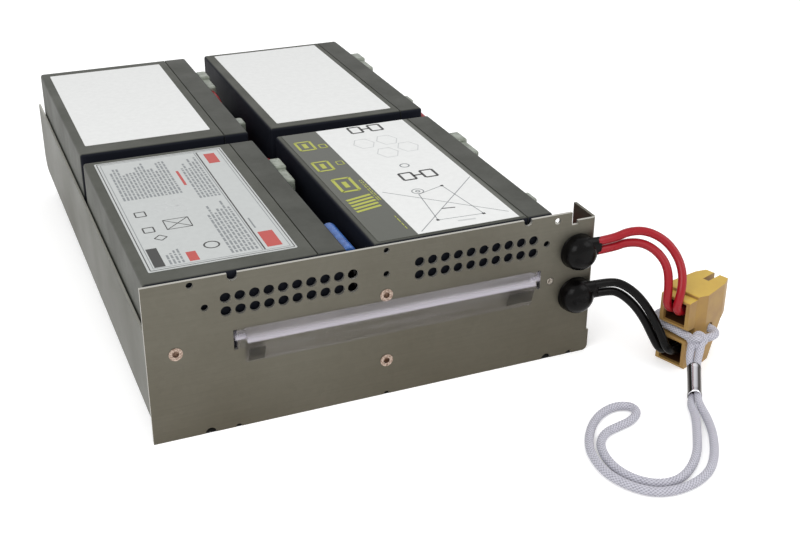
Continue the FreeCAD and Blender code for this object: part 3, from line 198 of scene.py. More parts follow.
def tube(name: str, line: np.ndarray, radius: np.ndarray) -> bpy.types.Object:
    """Closed tube: point(s, a) = line(s) + radius(s, a) * (cos a * side + sin a * over).

    Args:
        name: The piece's name.
        line: Points of the centre line in metres.
        radius: Radius in metres for each point of the line and each angle.

    Returns:
        The tube, with one flat face over each end.
    """
    rings, sides = radius.shape
    angle = np.linspace(0.0, 2.0 * np.pi, sides, endpoint=False)
    _, side, over = frames(line)
    around = np.cos(angle)[None, :, None] * side[:, None, :] + np.sin(angle)[None, :, None] * over[:, None, :]
    points = (line[:, None, :] + radius[:, :, None] * around).reshape(-1, 3)
    quads = grid_faces(rings, sides, True)[:, ::-1]
    made = add_mesh(name, points, quads)
    close_holes(made)
    return made


def close_holes(piece: bpy.types.Object) -> None:
    """Fills the open ends of a piece and turns its faces outwards.

    Args:
        piece: A mesh object whose only open edges are its ends.
    """
    work = bmesh.new()
    work.from_mesh(piece.data)
    bmesh.ops.holes_fill(work, edges=[e for e in work.edges if e.is_boundary], sides=0)
    bmesh.ops.recalc_face_normals(work, faces=work.faces)
    work.to_mesh(piece.data)
    work.free()


def merge_and_turn(piece: bpy.types.Object, distance: float = 1e-6) -> None:
    """Merges doubled points, as at poles, and turns the faces outwards.

    Args:
        piece: A mesh object.
        distance: How close doubled points lie, in metres.
    """
    work = bmesh.new()
    work.from_mesh(piece.data)
    bmesh.ops.remove_doubles(work, verts=work.verts, dist=distance)
    bmesh.ops.recalc_face_normals(work, faces=work.faces)
    work.to_mesh(piece.data)
    work.free()


def lathe(name: str, profile: Any, foot: Any, axis: Any, stretch: float = 1.0,
          sides: int = 48) -> bpy.types.Object:
    """Solid of revolution: point(t, a) = foot + y(t) axis + r(t) (cos a side + stretch sin a over).

    Args:
        name: The piece's name.
        profile: Rows of radius r and distance y along the axis in millimetres, from pole to pole.
        foot: Where the axis starts, in metres in the model's frame.
        axis: Direction of the axis, never straight up.  Side is level and square to it.
        stretch: How much wider the section is along over, which is square to axis and side.
        sides: Points round the axis.

    Returns:
        The closed solid.
    """
    along = np.asarray(axis, float) / np.linalg.norm(axis)
    side = np.cross(UP, along)
    side /= np.linalg.norm(side)
    over = np.cross(along, side)
    rows = np.asarray(profile, float)[:, :, None, None] * MM
    angle = np.linspace(0.0, 2.0 * np.pi, sides, endpoint=False)[None, :, None]
    points = np.asarray(foot, float) + rows[:, 1] * along + rows[:, 0] * (
        np.cos(angle) * side + stretch * np.sin(angle) * over)
    made = add_mesh(name, points.reshape(-1, 3), grid_faces(len(rows), sides, True))
    merge_and_turn(made)
    return made


def slabs(quads: np.ndarray, lift: Sequence[float]) -> tuple[np.ndarray, np.ndarray]:
    """Closed plates: each four-cornered face, the same face moved by the lift, and four sides.

    Args:
        quads: Corners of the lower faces, in the shape (plates, 4, 3), turning to the left as seen
            from the side that the lift points to.
        lift: How far the upper faces lie from the lower ones.

    Returns:
        Vertices, one per row, and vertex numbers, one face per row, with six faces for each plate.
    """
    points = np.concatenate((quads, quads + np.asarray(lift, float)), 1).reshape(-1, 3)
    pattern = np.array(((3, 2, 1, 0), (4, 5, 6, 7), (0, 1, 5, 4), (1, 2, 6, 5), (2, 3, 7, 6), (3, 0, 4, 7)))
    faces = pattern[None] + 8 * np.arange(len(quads))[:, None, None]
    return points, faces.reshape(-1, 4)


def spline(name: str, route: Route) -> bpy.types.Object:
    """Curve object of one open NURBS spline of order three.

    Args:
        name: The object's name.
        route: Control points in metres.

    Returns:
        The curve, without thickness, linked to the scene.
    """
    curve = bpy.data.curves.new(name, "CURVE")
    curve.dimensions = "3D"
    line = curve.splines.new("NURBS")
    line.points.add(len(route) - 1)
    line.points.foreach_set("co", np.column_stack((np.array(route), np.ones(len(route)))).ravel())
    line.order_u = 3
    line.use_endpoint_u = True
    line.resolution_u = 14
    made = bpy.data.objects.new(name, curve)
    bpy.context.scene.collection.objects.link(made)
    return made


def spline_line(route: Route, step: float = 0.00042) -> np.ndarray:
    """Even points along the NURBS spline of a route.

    Args:
        route: Control points in metres.
        step: Distance between the points in metres.

    Returns:
        Points in metres, one per row, read from the evaluated curve.
    """
    guide = spline("guide", route)
    bpy.context.view_layer.update()
    shown = guide.evaluated_get(bpy.context.evaluated_depsgraph_get())
    mesh = bpy.data.meshes.new_from_object(shown)
    raw = np.empty(len(mesh.vertices) * 3)
    mesh.vertices.foreach_get("co", raw)
    raw = raw.reshape(-1, 3)
    bpy.data.meshes.remove(mesh)
    bpy.data.objects.remove(guide)
    length = np.concatenate(([0.0], np.cumsum(np.linalg.norm(np.diff(raw, axis=0), axis=1))))
    even = np.linspace(0.0, length[-1], max(8, int(length[-1] / step) + 1))
    return np.stack([np.interp(even, length, raw[:, k]) for k in range(3)], -1)


def dress(piece: bpy.types.Object, finish: Finish) -> bpy.types.Object:
    """Gives a new piece its finish, and makes it ride on the cartridge.

    Args:
        piece: The new piece.
        finish: Its finish.

    Returns:
        The same piece.
    """
    piece.data.materials.clear()
    piece.data.materials.append(finish.material())
    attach(piece, BODY)
    LOG.info("piece %s in %s", piece.name, finish.name)
    return piece


def dress_node(nodes: dict[str, bpy.types.Object], name: str, finish: Finish) -> None:
    """Gives a modelled node its finish, without changing its shape.

    Args:
        nodes: The model's nodes by name.
        name: The node to dress.
        finish: Its finish.
    """
    nodes[name].data.materials.clear()
    nodes[name].data.materials.append(finish.material())
    LOG.info("node %s in %s", name, finish.name)


# Finishes


@dataclass(frozen=True)
class Finish:
    """A finish with its name.  Each kind of finish wires its own nodes."""

    name: str

    def material(self) -> bpy.types.Material:
        """Makes the material once, and gives the same one after that.

        Returns:
            The Blender material of this finish.
        """
        found = bpy.data.materials.get(self.name)
        if found is None:
            found = bpy.data.materials.new(self.name)
            found.use_nodes = True
            tree = found.node_tree
            tree.nodes.clear()
            node(tree, "ShaderNodeOutputMaterial", {"Surface": self.wire(tree)})
        return found

    def wire(self, tree: bpy.types.NodeTree) -> bpy.types.NodeSocket:
        """Adds this finish's nodes and returns the shader's output."""
        raise NotImplementedError


class Cut(Enum):
    """Which faces of a sheet show its bare sheared edge."""

    PUNCHED_FRONT = "faces square to the panel's front"
    WALL_TOPS = "upward faces along the walls' top edges"


@dataclass(frozen=True)
class ZincPlatedSheet(Finish):
    """Zinc-plated cold-rolled steel sheet: dull grey, with rolling lines and brighter sheared edges."""

    colour: str
    brown_tone: str
    edge: str
    cut: Cut
    roughness: float = 0.46
    wall_top: float = 0.0570
    panel_front: float = -0.1568
    cloud_mm: float = 70.0
    line_mm: float = 0.7
    spangle_mm: float = 2.5

    def wire(self, tree: bpy.types.NodeTree) -> bpy.types.NodeSocket:
        """Mottled grey metal with faint rolling lines and zinc spangle, browner towards the bottom.

        Args:
            tree: The material's node tree.

        Returns:
            The shader's output.
        """
        where = node(tree, "ShaderNodeTexCoord").outputs["Object"]
        across = node(tree, "ShaderNodeSeparateXYZ", {0: where})
        cloud = node(tree, "ShaderNodeTexNoise", {
            "Vector": where, "Scale": per(self.cloud_mm), "Detail": 3.0})
        # Rolling lines are finer than a pixel on the real sheet, so they are drawn 0.7 mm apart
        stretched = node(tree, "ShaderNodeMapping", {"Vector": where, "Scale": (0.02, 0.02, 1.0)})
        lines = node(tree, "ShaderNodeTexNoise", {
            "Vector": stretched.outputs[0], "Scale": per(self.line_mm), "Detail": 3.0})
        # Spangle: zinc grains about 2.5 mm wide, each a little lighter or darker than the next
        grains = node(tree, "ShaderNodeTexVoronoi", {"Vector": where, "Scale": per(self.spangle_mm)})
        # Darker and browner towards the bottom, over the lowest 75 mm
        low = node(tree, "ShaderNodeMapRange", {
            "Value": across.outputs["Z"], "From Min": 0.075, "From Max": 0.0, "To Min": 0.0, "To Max": 0.8})
        patch = node(tree, "ShaderNodeMath", {0: cloud.outputs["Fac"], 1: 0.5}, operation="SUBTRACT")
        share = node(tree, "ShaderNodeMath", {0: patch.outputs[0], 1: 1.1, 2: low.outputs[0]},
                     operation="MULTIPLY_ADD", use_clamp=True)
        tone = node(tree, "ShaderNodeMix", {"Factor": share.outputs[0], "A": linear(self.colour),
                                            "B": linear(self.brown_tone)}, data_type="RGBA")
        shade = node(tree, "ShaderNodeMapRange", {
            "Value": lines.outputs["Fac"], "From Min": 0.3, "From Max": 0.7, "To Min": 0.97,
            "To Max": 1.03})
        fleck = node(tree, "ShaderNodeMapRange", {
            "Value": grains.outputs["Color"], "To Min": 0.97, "To Max": 1.03})
        both = node(tree, "ShaderNodeMath", {0: shade.outputs[0], 1: fleck.outputs[0]}, operation="MULTIPLY")
        toned = node(tree, "ShaderNodeVectorMath", {0: tone.outputs["Result"], "Scale": both.outputs[0]},
                     operation="SCALE")
        worn = node(tree, "ShaderNodeMix", {"Factor": self.edge_mask(tree, across), "A": toned.outputs[0],
                                            "B": linear(self.edge)}, data_type="RGBA")
        rough = node(tree, "ShaderNodeMapRange", {
            "Value": cloud.outputs["Fac"], "From Min": 0.3, "From Max": 0.7,
            "To Min": self.roughness - 0.06, "To Max": self.roughness + 0.08})
        bump = node(tree, "ShaderNodeBump", {
            "Strength": 0.12, "Distance": 0.00003, "Height": lines.outputs["Fac"]})
        return node(tree, "ShaderNodeBsdfPrincipled", {
            "Base Color": worn.outputs["Result"], "Metallic": 0.86, "Roughness": rough.outputs[0],
            "Normal": bump.outputs[0]}).outputs[0]

    def edge_mask(self, tree: bpy.types.NodeTree, across: bpy.types.Node) -> bpy.types.NodeSocket:
        """One on the sheared edges that Cut names, and zero elsewhere.

        Args:
            tree: The material's node tree.
            across: The node that separates the object's coordinates.

        Returns:
            The mask.
        """
        facing = node(tree, "ShaderNodeSeparateXYZ", {
            0: node(tree, "ShaderNodeNewGeometry").outputs["Normal"]})
        if self.cut is Cut.WALL_TOPS:
            up = node(tree, "ShaderNodeMath", {0: facing.outputs["Z"], 1: 0.7}, operation="GREATER_THAN")
            high = node(tree, "ShaderNodeMath", {
                0: across.outputs["Z"], 1: self.wall_top}, operation="GREATER_THAN")
            return node(tree, "ShaderNodeMath", {0: up.outputs[0], 1: high.outputs[0]},
                        operation="MULTIPLY").outputs[0]
        flat = node(tree, "ShaderNodeMath", {0: facing.outputs["Y"]}, operation="ABSOLUTE")
        square = node(tree, "ShaderNodeMath", {0: flat.outputs[0], 1: 0.5}, operation="LESS_THAN")
        front = node(tree, "ShaderNodeMath", {
            0: across.outputs["Y"], 1: self.panel_front}, operation="LESS_THAN")
        return node(tree, "ShaderNodeMath", {0: square.outputs[0], 1: front.outputs[0]},
                    operation="MULTIPLY").outputs[0]


@dataclass(frozen=True)
class BareMetal(Finish):
    """Small plated or bare metal parts: one colour with fine tarnish and handling marks."""

    colour: str
    tarnish: str
    roughness: float
    grain_mm: float = 0.6
    pitting: float = 0.00003

    def wire(self, tree: bpy.types.NodeTree) -> bpy.types.NodeSocket:
        """Metal whose colour and roughness vary in spots of the grain's size.

        Args:
            tree: The material's node tree.

        Returns:
            The shader's output.
        """
        where = node(tree, "ShaderNodeTexCoord").outputs["Object"]
        spots = node(tree, "ShaderNodeTexNoise", {
            "Vector": where, "Scale": per(self.grain_mm), "Detail": 4.0})
        tone = node(tree, "ShaderNodeValToRGB", {"Fac": spots.outputs["Fac"]},
                    stops=((0.35, self.tarnish), (0.62, self.colour)))
        rough = node(tree, "ShaderNodeMapRange", {
            "Value": spots.outputs["Fac"], "From Min": 0.3, "From Max": 0.7,
            "To Min": self.roughness * 1.25, "To Max": self.roughness * 0.85})
        bump = node(tree, "ShaderNodeBump", {"Strength": 0.1, "Distance": self.pitting,
                                             "Height": spots.outputs["Fac"]})
        return node(tree, "ShaderNodeBsdfPrincipled", {
            "Base Color": tone.outputs[0], "Metallic": 1.0, "Roughness": rough.outputs[0],
            "Normal": bump.outputs[0]}).outputs[0]


@dataclass(frozen=True)
class PolishedTube(Finish):
    """Bright nickel on a drawn tube: a mirror with a painted reflection, pale where it faces the view and
    dark where it turns away.
    """

    colour: str
    painted_dark_rim: str
    between: str = "#b9b8be"
    roughness: float = 0.11
    spot_mm: float = 0.4

    def wire(self, tree: bpy.types.NodeTree) -> bpy.types.NodeSocket:
        """Painted reflection: pale where the tube faces the view and dark at its two sides, with spots 0.4 mm
        wide.

        Args:
            tree: The material's node tree.

        Returns:
            The shader's output.
        """
        where = node(tree, "ShaderNodeTexCoord").outputs["Object"]
        # Painted reflection: the colour follows how far the surface turns from the view
        turned = node(tree, "ShaderNodeLayerWeight", {"Blend": 0.5})
        tone = node(tree, "ShaderNodeValToRGB", {"Fac": turned.outputs["Facing"]},
                    stops=((0.2, self.colour), (0.32, self.between), (0.44, self.painted_dark_rim), (0.8, self.painted_dark_rim)))
        drawn = node(tree, "ShaderNodeTexNoise", {"Vector": where, "Scale": per(self.spot_mm), "Detail": 2.0})
        rough = node(tree, "ShaderNodeMapRange", {
            "Value": drawn.outputs["Fac"], "To Min": self.roughness - 0.03,
            "To Max": self.roughness + 0.05})
        return node(tree, "ShaderNodeBsdfPrincipled", {
            "Base Color": tone.outputs[0], "Metallic": 1.0, "Roughness": rough.outputs[0]}).outputs[0]


@dataclass(frozen=True)
class MouldedPlastic(Finish):
    """Injection-moulded ABS or polycarbonate: matt, with a spark-eroded grain and rubbed patches."""

    colour: str
    rubbed: str
    roughness: float
    grain_mm: float = 0.5
    grain_height: float = 0.00005
    specular: float = 0.5
    patch_mm: float = 28.0

    def wire(self, tree: bpy.types.NodeTree) -> bpy.types.NodeSocket:
        """Grain as bump, with broad patches where handling has rubbed the surface paler.

        Args:
            tree: The material's node tree.

        Returns:
            The shader's output.
        """
        where = node(tree, "ShaderNodeTexCoord").outputs["Object"]
        grain = node(tree, "ShaderNodeTexNoise", {
            "Vector": where, "Scale": per(self.grain_mm), "Detail": 3.0})
        patch = node(tree, "ShaderNodeTexNoise", {"Vector": where, "Scale": per(self.patch_mm), "Detail": 5.0,
                                                  "Roughness": 0.65})
        share = node(tree, "ShaderNodeMapRange", {
            "Value": patch.outputs["Fac"], "From Min": 0.38, "From Max": 0.68})
        tone = node(tree, "ShaderNodeMix", {"Factor": share.outputs[0], "A": linear(self.colour),
                                            "B": linear(self.rubbed)}, data_type="RGBA")
        rough = node(tree, "ShaderNodeMapRange", {
            "Value": patch.outputs["Fac"], "From Min": 0.3, "From Max": 0.7,
            "To Min": self.roughness + 0.05, "To Max": self.roughness - 0.05})
        bump = node(tree, "ShaderNodeBump", {"Strength": 0.6, "Distance": self.grain_height,
                                             "Height": grain.outputs["Fac"]})
        colour, specular = self.shade(tree, where, tone.outputs["Result"])
        return node(tree, "ShaderNodeBsdfPrincipled", {
            "Base Color": colour, "Roughness": rough.outputs[0], "Normal": bump.outputs[0],
            "Specular IOR Level": specular}).outputs[0]

    def shade(self, tree: bpy.types.NodeTree, where: bpy.types.NodeSocket,
              tone: bpy.types.NodeSocket) -> tuple[bpy.types.NodeSocket, Any]:
        """Colour and specular level of the faces, which a finish for one kind of moulding may vary.

        Args:
            tree: The material's node tree.
            where: The object's coordinates.
            tone: The colour with its rubbed patches.

        Returns:
            The colour, and the specular level as a number or a socket.
        """
        return tone, self.specular


@dataclass(frozen=True)
class BatteryShell(MouldedPlastic):
    """Black ABS of a battery: grey on its top and outer sides, partly from dust and partly as painted sheen,
    and nearly black as painted shade on faces that the light doesn't reach.

    The gap between the two columns has its middle at gap_middle and reaches gap_reach to each side.
    The painted shade lies on faces that point along x in the gap, and on faces that point along y in front of
    open_back.
    """

    # Painted shade: the near-black colour and the low specular level of faces that the light doesn't reach
    painted_shade: str = "#191b22"
    gap_middle: float = -0.0119
    gap_reach: float = 0.012
    open_back: float = 0.150
    painted_shade_specular: float = 0.05

    def shade(self, tree: bpy.types.NodeTree, where: bpy.types.NodeSocket,
              tone: bpy.types.NodeSocket) -> tuple[bpy.types.NodeSocket, Any]:
        """Painted shade: near black on faces behind the panel, between the rows and in the gap between the
        columns.

        Args:
            tree: The material's node tree.
            where: The object's coordinates.
            tone: The colour with its rubbed patches.

        Returns:
            The colour, and the specular level, which is lowered together with the painted shade.
        """
        facing = node(tree, "ShaderNodeSeparateXYZ", {
            0: node(tree, "ShaderNodeNewGeometry").outputs["Normal"]})
        across = node(tree, "ShaderNodeSeparateXYZ", {0: where})
        front = node(tree, "ShaderNodeMath", {
            0: across.outputs["Y"], 1: self.open_back}, operation="LESS_THAN")
        cross = node(tree, "ShaderNodeMath", {
            0: facing.outputs["Y"], 1: front.outputs[0]}, operation="MULTIPLY")
        end = node(tree, "ShaderNodeMath", {0: cross.outputs[0]}, operation="ABSOLUTE")
        wall = node(tree, "ShaderNodeMath", {0: facing.outputs["X"]}, operation="ABSOLUTE")
        gap = node(tree, "ShaderNodeMath", {0: across.outputs["X"], 1: self.gap_middle, 2: self.gap_reach},
                   operation="COMPARE")
        inner = node(tree, "ShaderNodeMath", {0: wall.outputs[0], 1: gap.outputs[0]}, operation="MULTIPLY")
        either = node(tree, "ShaderNodeMath", {0: end.outputs[0], 1: inner.outputs[0]}, operation="MAXIMUM")
        share = node(tree, "ShaderNodeMapRange", {
            "Value": either.outputs[0], "From Min": 0.3, "From Max": 0.75})
        mixed = node(tree, "ShaderNodeMix", {"Factor": share.outputs[0], "A": tone,
                                             "B": linear(self.painted_shade)}, data_type="RGBA")
        level = node(tree, "ShaderNodeMapRange", {"Value": share.outputs[0], "To Min": self.specular,
                                                  "To Max": self.painted_shade_specular})
        return mixed.outputs["Result"], level.outputs[0]


@dataclass(frozen=True)
class SideShadedPlastic(MouldedPlastic):
    """Yellow polycarbonate with painted shade: browner on every face but the upward ones at the top, and dark
    in the mouths for the leads.

    The foot, in millimetres, is the middle of the end that takes the leads, and turn is the way that
    the housing points, in degrees.
    The two mouths for the leads have their middles at the heights of the poles.
    """

    # Painted shade: the browner colour of the faces below the top, and the dark colour in the mouths for the
    # leads
    painted_side_shade: str = "#987648"
    painted_mouth_shade: str = "#3d2413"
    top: float = 0.030
    foot: tuple[float, float] = (257.5, -28.0)
    turn: float = 20.0
    poles: tuple[float, float] = (0.0078, 0.0296)
    mouth_middle: float = 0.0064
    mouth_reach: float = 0.0042
    mouth_half: float = 0.0066
    shade_blotch_mm: float = 7.0

    def shade(self, tree: bpy.types.NodeTree, where: bpy.types.NodeSocket,
              tone: bpy.types.NodeSocket) -> tuple[bpy.types.NodeSocket, Any]:
        """Painted shade: a browner colour on every face but the highest ones, and a dark colour in the mouths
        for the leads.

        Args:
            tree: The material's node tree.
            where: The object's coordinates.
            tone: The colour with its rubbed patches.

        Returns:
            The colour, and the specular level.
        """
        facing = node(tree, "ShaderNodeSeparateXYZ", {
            0: node(tree, "ShaderNodeNewGeometry").outputs["Normal"]})
        height = node(tree, "ShaderNodeSeparateXYZ", {0: where}).outputs["Z"]
        # Blotches about 7 mm wide where the painted shade is a little lighter
        shade_blotch = node(tree, "ShaderNodeTexNoise", {"Vector": where, "Scale": per(self.shade_blotch_mm), "Detail": 4.0})
        reach = node(tree, "ShaderNodeMapRange", {
            "Value": shade_blotch.outputs["Fac"], "From Min": 0.3, "From Max": 0.7, "To Min": 1.0, "To Max": 0.72})
        level = node(tree, "ShaderNodeMapRange", {
            "Value": facing.outputs["Z"], "From Min": 0.4, "From Max": 0.85})
        high = node(tree, "ShaderNodeMath", {0: height, 1: self.top}, operation="GREATER_THAN")
        bright = node(tree, "ShaderNodeMath", {0: level.outputs[0], 1: high.outputs[0]}, operation="MULTIPLY")
        share = node(tree, "ShaderNodeMapRange", {"Value": bright.outputs[0], "To Min": reach.outputs[0],
                                                  "To Max": 0.0})
        mixed = node(tree, "ShaderNodeMix", {"Factor": share.outputs[0], "A": tone,
                                             "B": linear(self.painted_side_shade)}, data_type="RGBA")
        # Painted shade: the mouths for the leads are coloured dark
        dark = node(tree, "ShaderNodeMix", {"Factor": self.mouths(tree, where, height),
                                            "A": mixed.outputs["Result"], "B": linear(self.painted_mouth_shade)},
                    data_type="RGBA")
        return dark.outputs["Result"], self.specular

    def mouths(self, tree: bpy.types.NodeTree, where: bpy.types.NodeSocket,
               height: bpy.types.NodeSocket) -> bpy.types.NodeSocket:
        """One in the two mouths for the leads, 13 mm square, from 2.2 to 10.6 mm in from the foot.

        Args:
            tree: The material's node tree.
            where: The object's coordinates.
            height: Their height.

        Returns:
            The mask.
        """
        angle = math.radians(self.turn)
        ahead = np.array((math.cos(angle), math.sin(angle), 0.0))
        aside = np.array((math.sin(angle), -math.cos(angle), 0.0))
        foot = place((*self.foot, 0.0))
        depth = node(tree, "ShaderNodeVectorMath", {0: where, 1: ahead.tolist()}, operation="DOT_PRODUCT")
        width = node(tree, "ShaderNodeVectorMath", {0: where, 1: aside.tolist()}, operation="DOT_PRODUCT")
        deep = node(tree, "ShaderNodeMath", {
            0: depth.outputs["Value"], 1: float(foot @ ahead) + self.mouth_middle, 2: self.mouth_reach},
            operation="COMPARE")
        wide = node(tree, "ShaderNodeMath", {
            0: width.outputs["Value"], 1: float(foot @ aside), 2: self.mouth_half}, operation="COMPARE")
        low = node(tree, "ShaderNodeMath", {
            0: height, 1: self.poles[0], 2: self.mouth_half}, operation="COMPARE")
        high = node(tree, "ShaderNodeMath", {
            0: height, 1: self.poles[1], 2: self.mouth_half}, operation="COMPARE")
        either = node(tree, "ShaderNodeMath", {0: low.outputs[0], 1: high.outputs[0]}, operation="MAXIMUM")
        square = node(tree, "ShaderNodeMath", {0: deep.outputs[0], 1: wide.outputs[0]}, operation="MULTIPLY")
        return node(tree, "ShaderNodeMath", {0: square.outputs[0], 1: either.outputs[0]},
                    operation="MULTIPLY").outputs[0]


@dataclass(frozen=True)
class LeadInsulation(Finish):
    """Extruded flexible PVC: saturated and glossy, with faint waves along the lead."""

    colour: str
    dusty: str
    roughness: float = 0.24
    specular: float = 0.28
    dust_mm: float = 6.0
    wave_mm: float = 2.2

    def wire(self, tree: bpy.types.NodeTree) -> bpy.types.NodeSocket:
        """Even colour with dusty patches some 6 mm wide and a shallow wave from the strands inside.

        Args:
            tree: The material's node tree.

        Returns:
            The shader's output.
        """
        where = node(tree, "ShaderNodeTexCoord").outputs["Object"]
        dust = node(tree, "ShaderNodeTexNoise", {"Vector": where, "Scale": per(self.dust_mm), "Detail": 5.0,
                                                 "Roughness": 0.7})
        share = node(tree, "ShaderNodeMapRange", {
            "Value": dust.outputs["Fac"], "From Min": 0.5, "From Max": 0.8, "To Max": 0.4})
        tone = node(tree, "ShaderNodeMix", {"Factor": share.outputs[0], "A": linear(self.colour),
                                            "B": linear(self.dusty)}, data_type="RGBA")
        wave = node(tree, "ShaderNodeTexNoise", {"Vector": where, "Scale": per(self.wave_mm), "Detail": 1.0})
        rough = node(tree, "ShaderNodeMapRange", {
            "Value": dust.outputs["Fac"], "From Min": 0.3, "From Max": 0.8, "To Min": self.roughness,
            "To Max": self.roughness + 0.2})
        bump = node(tree, "ShaderNodeBump", {
            "Strength": 0.3, "Distance": 0.0001, "Height": wave.outputs["Fac"]})
        return node(tree, "ShaderNodeBsdfPrincipled", {
            "Base Color": tone.outputs["Result"], "Roughness": rough.outputs[0], "IOR": 1.53,
            "Specular IOR Level": self.specular, "Normal": bump.outputs[0]}).outputs[0]


@dataclass(frozen=True)
class MilkyNylon(Finish):
    """Moulded natural nylon or shrunk sleeve: light passes into it, so its edges glow."""

    colour: str
    deep: str
    scatter_mm: float = 1.2
    roughness: float = 0.34
    cloud_mm: float = 4.0
    wave_mm: float = 1.6

    def wire(self, tree: bpy.types.NodeTree) -> bpy.types.NodeSocket:
        """Light scatters under the skin, and the colour deepens in cloudy patches 4 mm wide.

        Args:
            tree: The material's node tree.

        Returns:
            The shader's output.
        """
        where = node(tree, "ShaderNodeTexCoord").outputs["Object"]
        cloud = node(tree, "ShaderNodeTexNoise", {
            "Vector": where, "Scale": per(self.cloud_mm), "Detail": 3.0})
        tone = node(tree, "ShaderNodeValToRGB", {"Fac": cloud.outputs["Fac"]},
                    stops=((0.34, self.deep), (0.6, self.colour)))
        wave = node(tree, "ShaderNodeTexNoise", {"Vector": where, "Scale": per(self.wave_mm), "Detail": 2.0})
        bump = node(tree, "ShaderNodeBump", {
            "Strength": 0.3, "Distance": 0.0001, "Height": wave.outputs["Fac"]})
        return node(tree, "ShaderNodeBsdfPrincipled", {
            "Base Color": tone.outputs[0], "Roughness": self.roughness, "IOR": 1.53,
            "Subsurface Weight": 0.45, "Subsurface Radius": (1.0, 1.0, 0.9),
            "Subsurface Scale": self.scatter_mm * MM, "Normal": bump.outputs[0]}).outputs[0]


@dataclass(frozen=True)
class ClearFilm(Finish):
    """Cast polyester film: nearly colourless and glossy, so that what lies behind it shows."""

    tint: str
    haze: str
    cover: float
    # Share of pale haze in the painted highlight along the crease
    crease_highlight: float = 0.0
    crease_height: float = 0.0470
    scuff_mm: float = 3.0

    def wire(self, tree: bpy.types.NodeTree) -> bpy.types.NodeSocket:
        """Clear film that is hazier in long scuffs, with a painted highlight of pale haze along its crease
        and, fainter, on its upper flat.

        Args:
            tree: The material's node tree.

        Returns:
            The shader's output.
        """
        where = node(tree, "ShaderNodeTexCoord").outputs["Object"]
        along = node(tree, "ShaderNodeMapping", {"Vector": where, "Scale": (0.06, 1.0, 1.0)})
        scuff = node(tree, "ShaderNodeTexNoise", {
            "Vector": along.outputs[0], "Scale": per(self.scuff_mm), "Detail": 2.0})
        bump = node(tree, "ShaderNodeBump", {
            "Strength": 0.15, "Distance": 0.0001, "Height": scuff.outputs["Fac"]})
        skin = node(tree, "ShaderNodeBsdfPrincipled", {"Base Color": linear(self.haze), "Roughness": 0.2,
                                                       "IOR": 1.5, "Normal": bump.outputs[0]})
        clear = node(tree, "ShaderNodeBsdfTransparent", {"Color": linear(self.tint)})
        marked = node(tree, "ShaderNodeMapRange", {
            "Value": scuff.outputs["Fac"], "From Min": 0.4, "From Max": 0.75, "To Min": self.cover,
            "To Max": self.cover + 0.05})
        share = node(tree, "ShaderNodeMath", {0: marked.outputs[0], 1: self.crease(tree, where)},
                     operation="ADD", use_clamp=True)
        return node(tree, "ShaderNodeMixShader", {0: share.outputs[0], 1: clear.outputs[0],
                                                  2: skin.outputs[0]}).outputs[0]

    def crease(self, tree: bpy.types.NodeTree, where: bpy.types.NodeSocket) -> bpy.types.NodeSocket:
        """Painted highlight: pale haze along the crease, fading 1.2 mm below it and 2.6 mm above it.

        Args:
            tree: The material's node tree.
            where: The object's coordinates.

        Returns:
            The share of haze that the painted highlight adds.
        """
        height = node(tree, "ShaderNodeSeparateXYZ", {0: where}).outputs["Z"]
        below = node(tree, "ShaderNodeMapRange", {
            "Value": height, "From Min": self.crease_height - 0.0012, "From Max": self.crease_height - 0.0001,
            "To Max": self.crease_highlight}, interpolation_type="SMOOTHSTEP")
        above = node(tree, "ShaderNodeMapRange", {
            "Value": height, "From Min": self.crease_height + 0.0004, "From Max": self.crease_height + 0.0026,
            "To Min": 1.0, "To Max": 0.16})
        return node(tree, "ShaderNodeMath", {0: below.outputs[0], 1: above.outputs[0]},
                    operation="MULTIPLY").outputs[0]


@dataclass(frozen=True)
class PrintedStock(Finish):
    """Face stock or ink of a label: satin, very smooth, with faint cockling."""

    colour: str
    roughness: float = 0.38
    metallic: float = 0.0
    cockle: float = 0.00012
    mottle_mm: float = 3.0
    bubble_mm: float = 15.0

    def wire(self, tree: bpy.types.NodeTree) -> bpy.types.NodeSocket:
        """Even colour with a mottle of two or three percent, over bubbles some 15 mm wide.

        Args:
            tree: The material's node tree.

        Returns:
            The shader's output.
        """
        where = node(tree, "ShaderNodeTexCoord").outputs["Object"]
        mottle = node(tree, "ShaderNodeTexNoise", {
            "Vector": where, "Scale": per(self.mottle_mm), "Detail": 4.0})
        share = node(tree, "ShaderNodeMapRange", {
            "Value": mottle.outputs["Fac"], "From Min": 0.3, "From Max": 0.7, "To Min": 0.97,
            "To Max": 1.02})
        tone = node(tree, "ShaderNodeVectorMath", {0: linear(self.colour)[:3], "Scale": share.outputs[0]},
                    operation="SCALE")
        bubble = node(tree, "ShaderNodeTexNoise", {
            "Vector": where, "Scale": per(self.bubble_mm), "Detail": 2.0})
        bump = node(tree, "ShaderNodeBump", {"Strength": 0.35, "Distance": self.cockle,
                                             "Height": bubble.outputs["Fac"]})
        return node(tree, "ShaderNodeBsdfPrincipled", {
            "Base Color": tone.outputs[0], "Roughness": self.roughness, "Metallic": self.metallic,
            "Normal": bump.outputs[0]}).outputs[0]


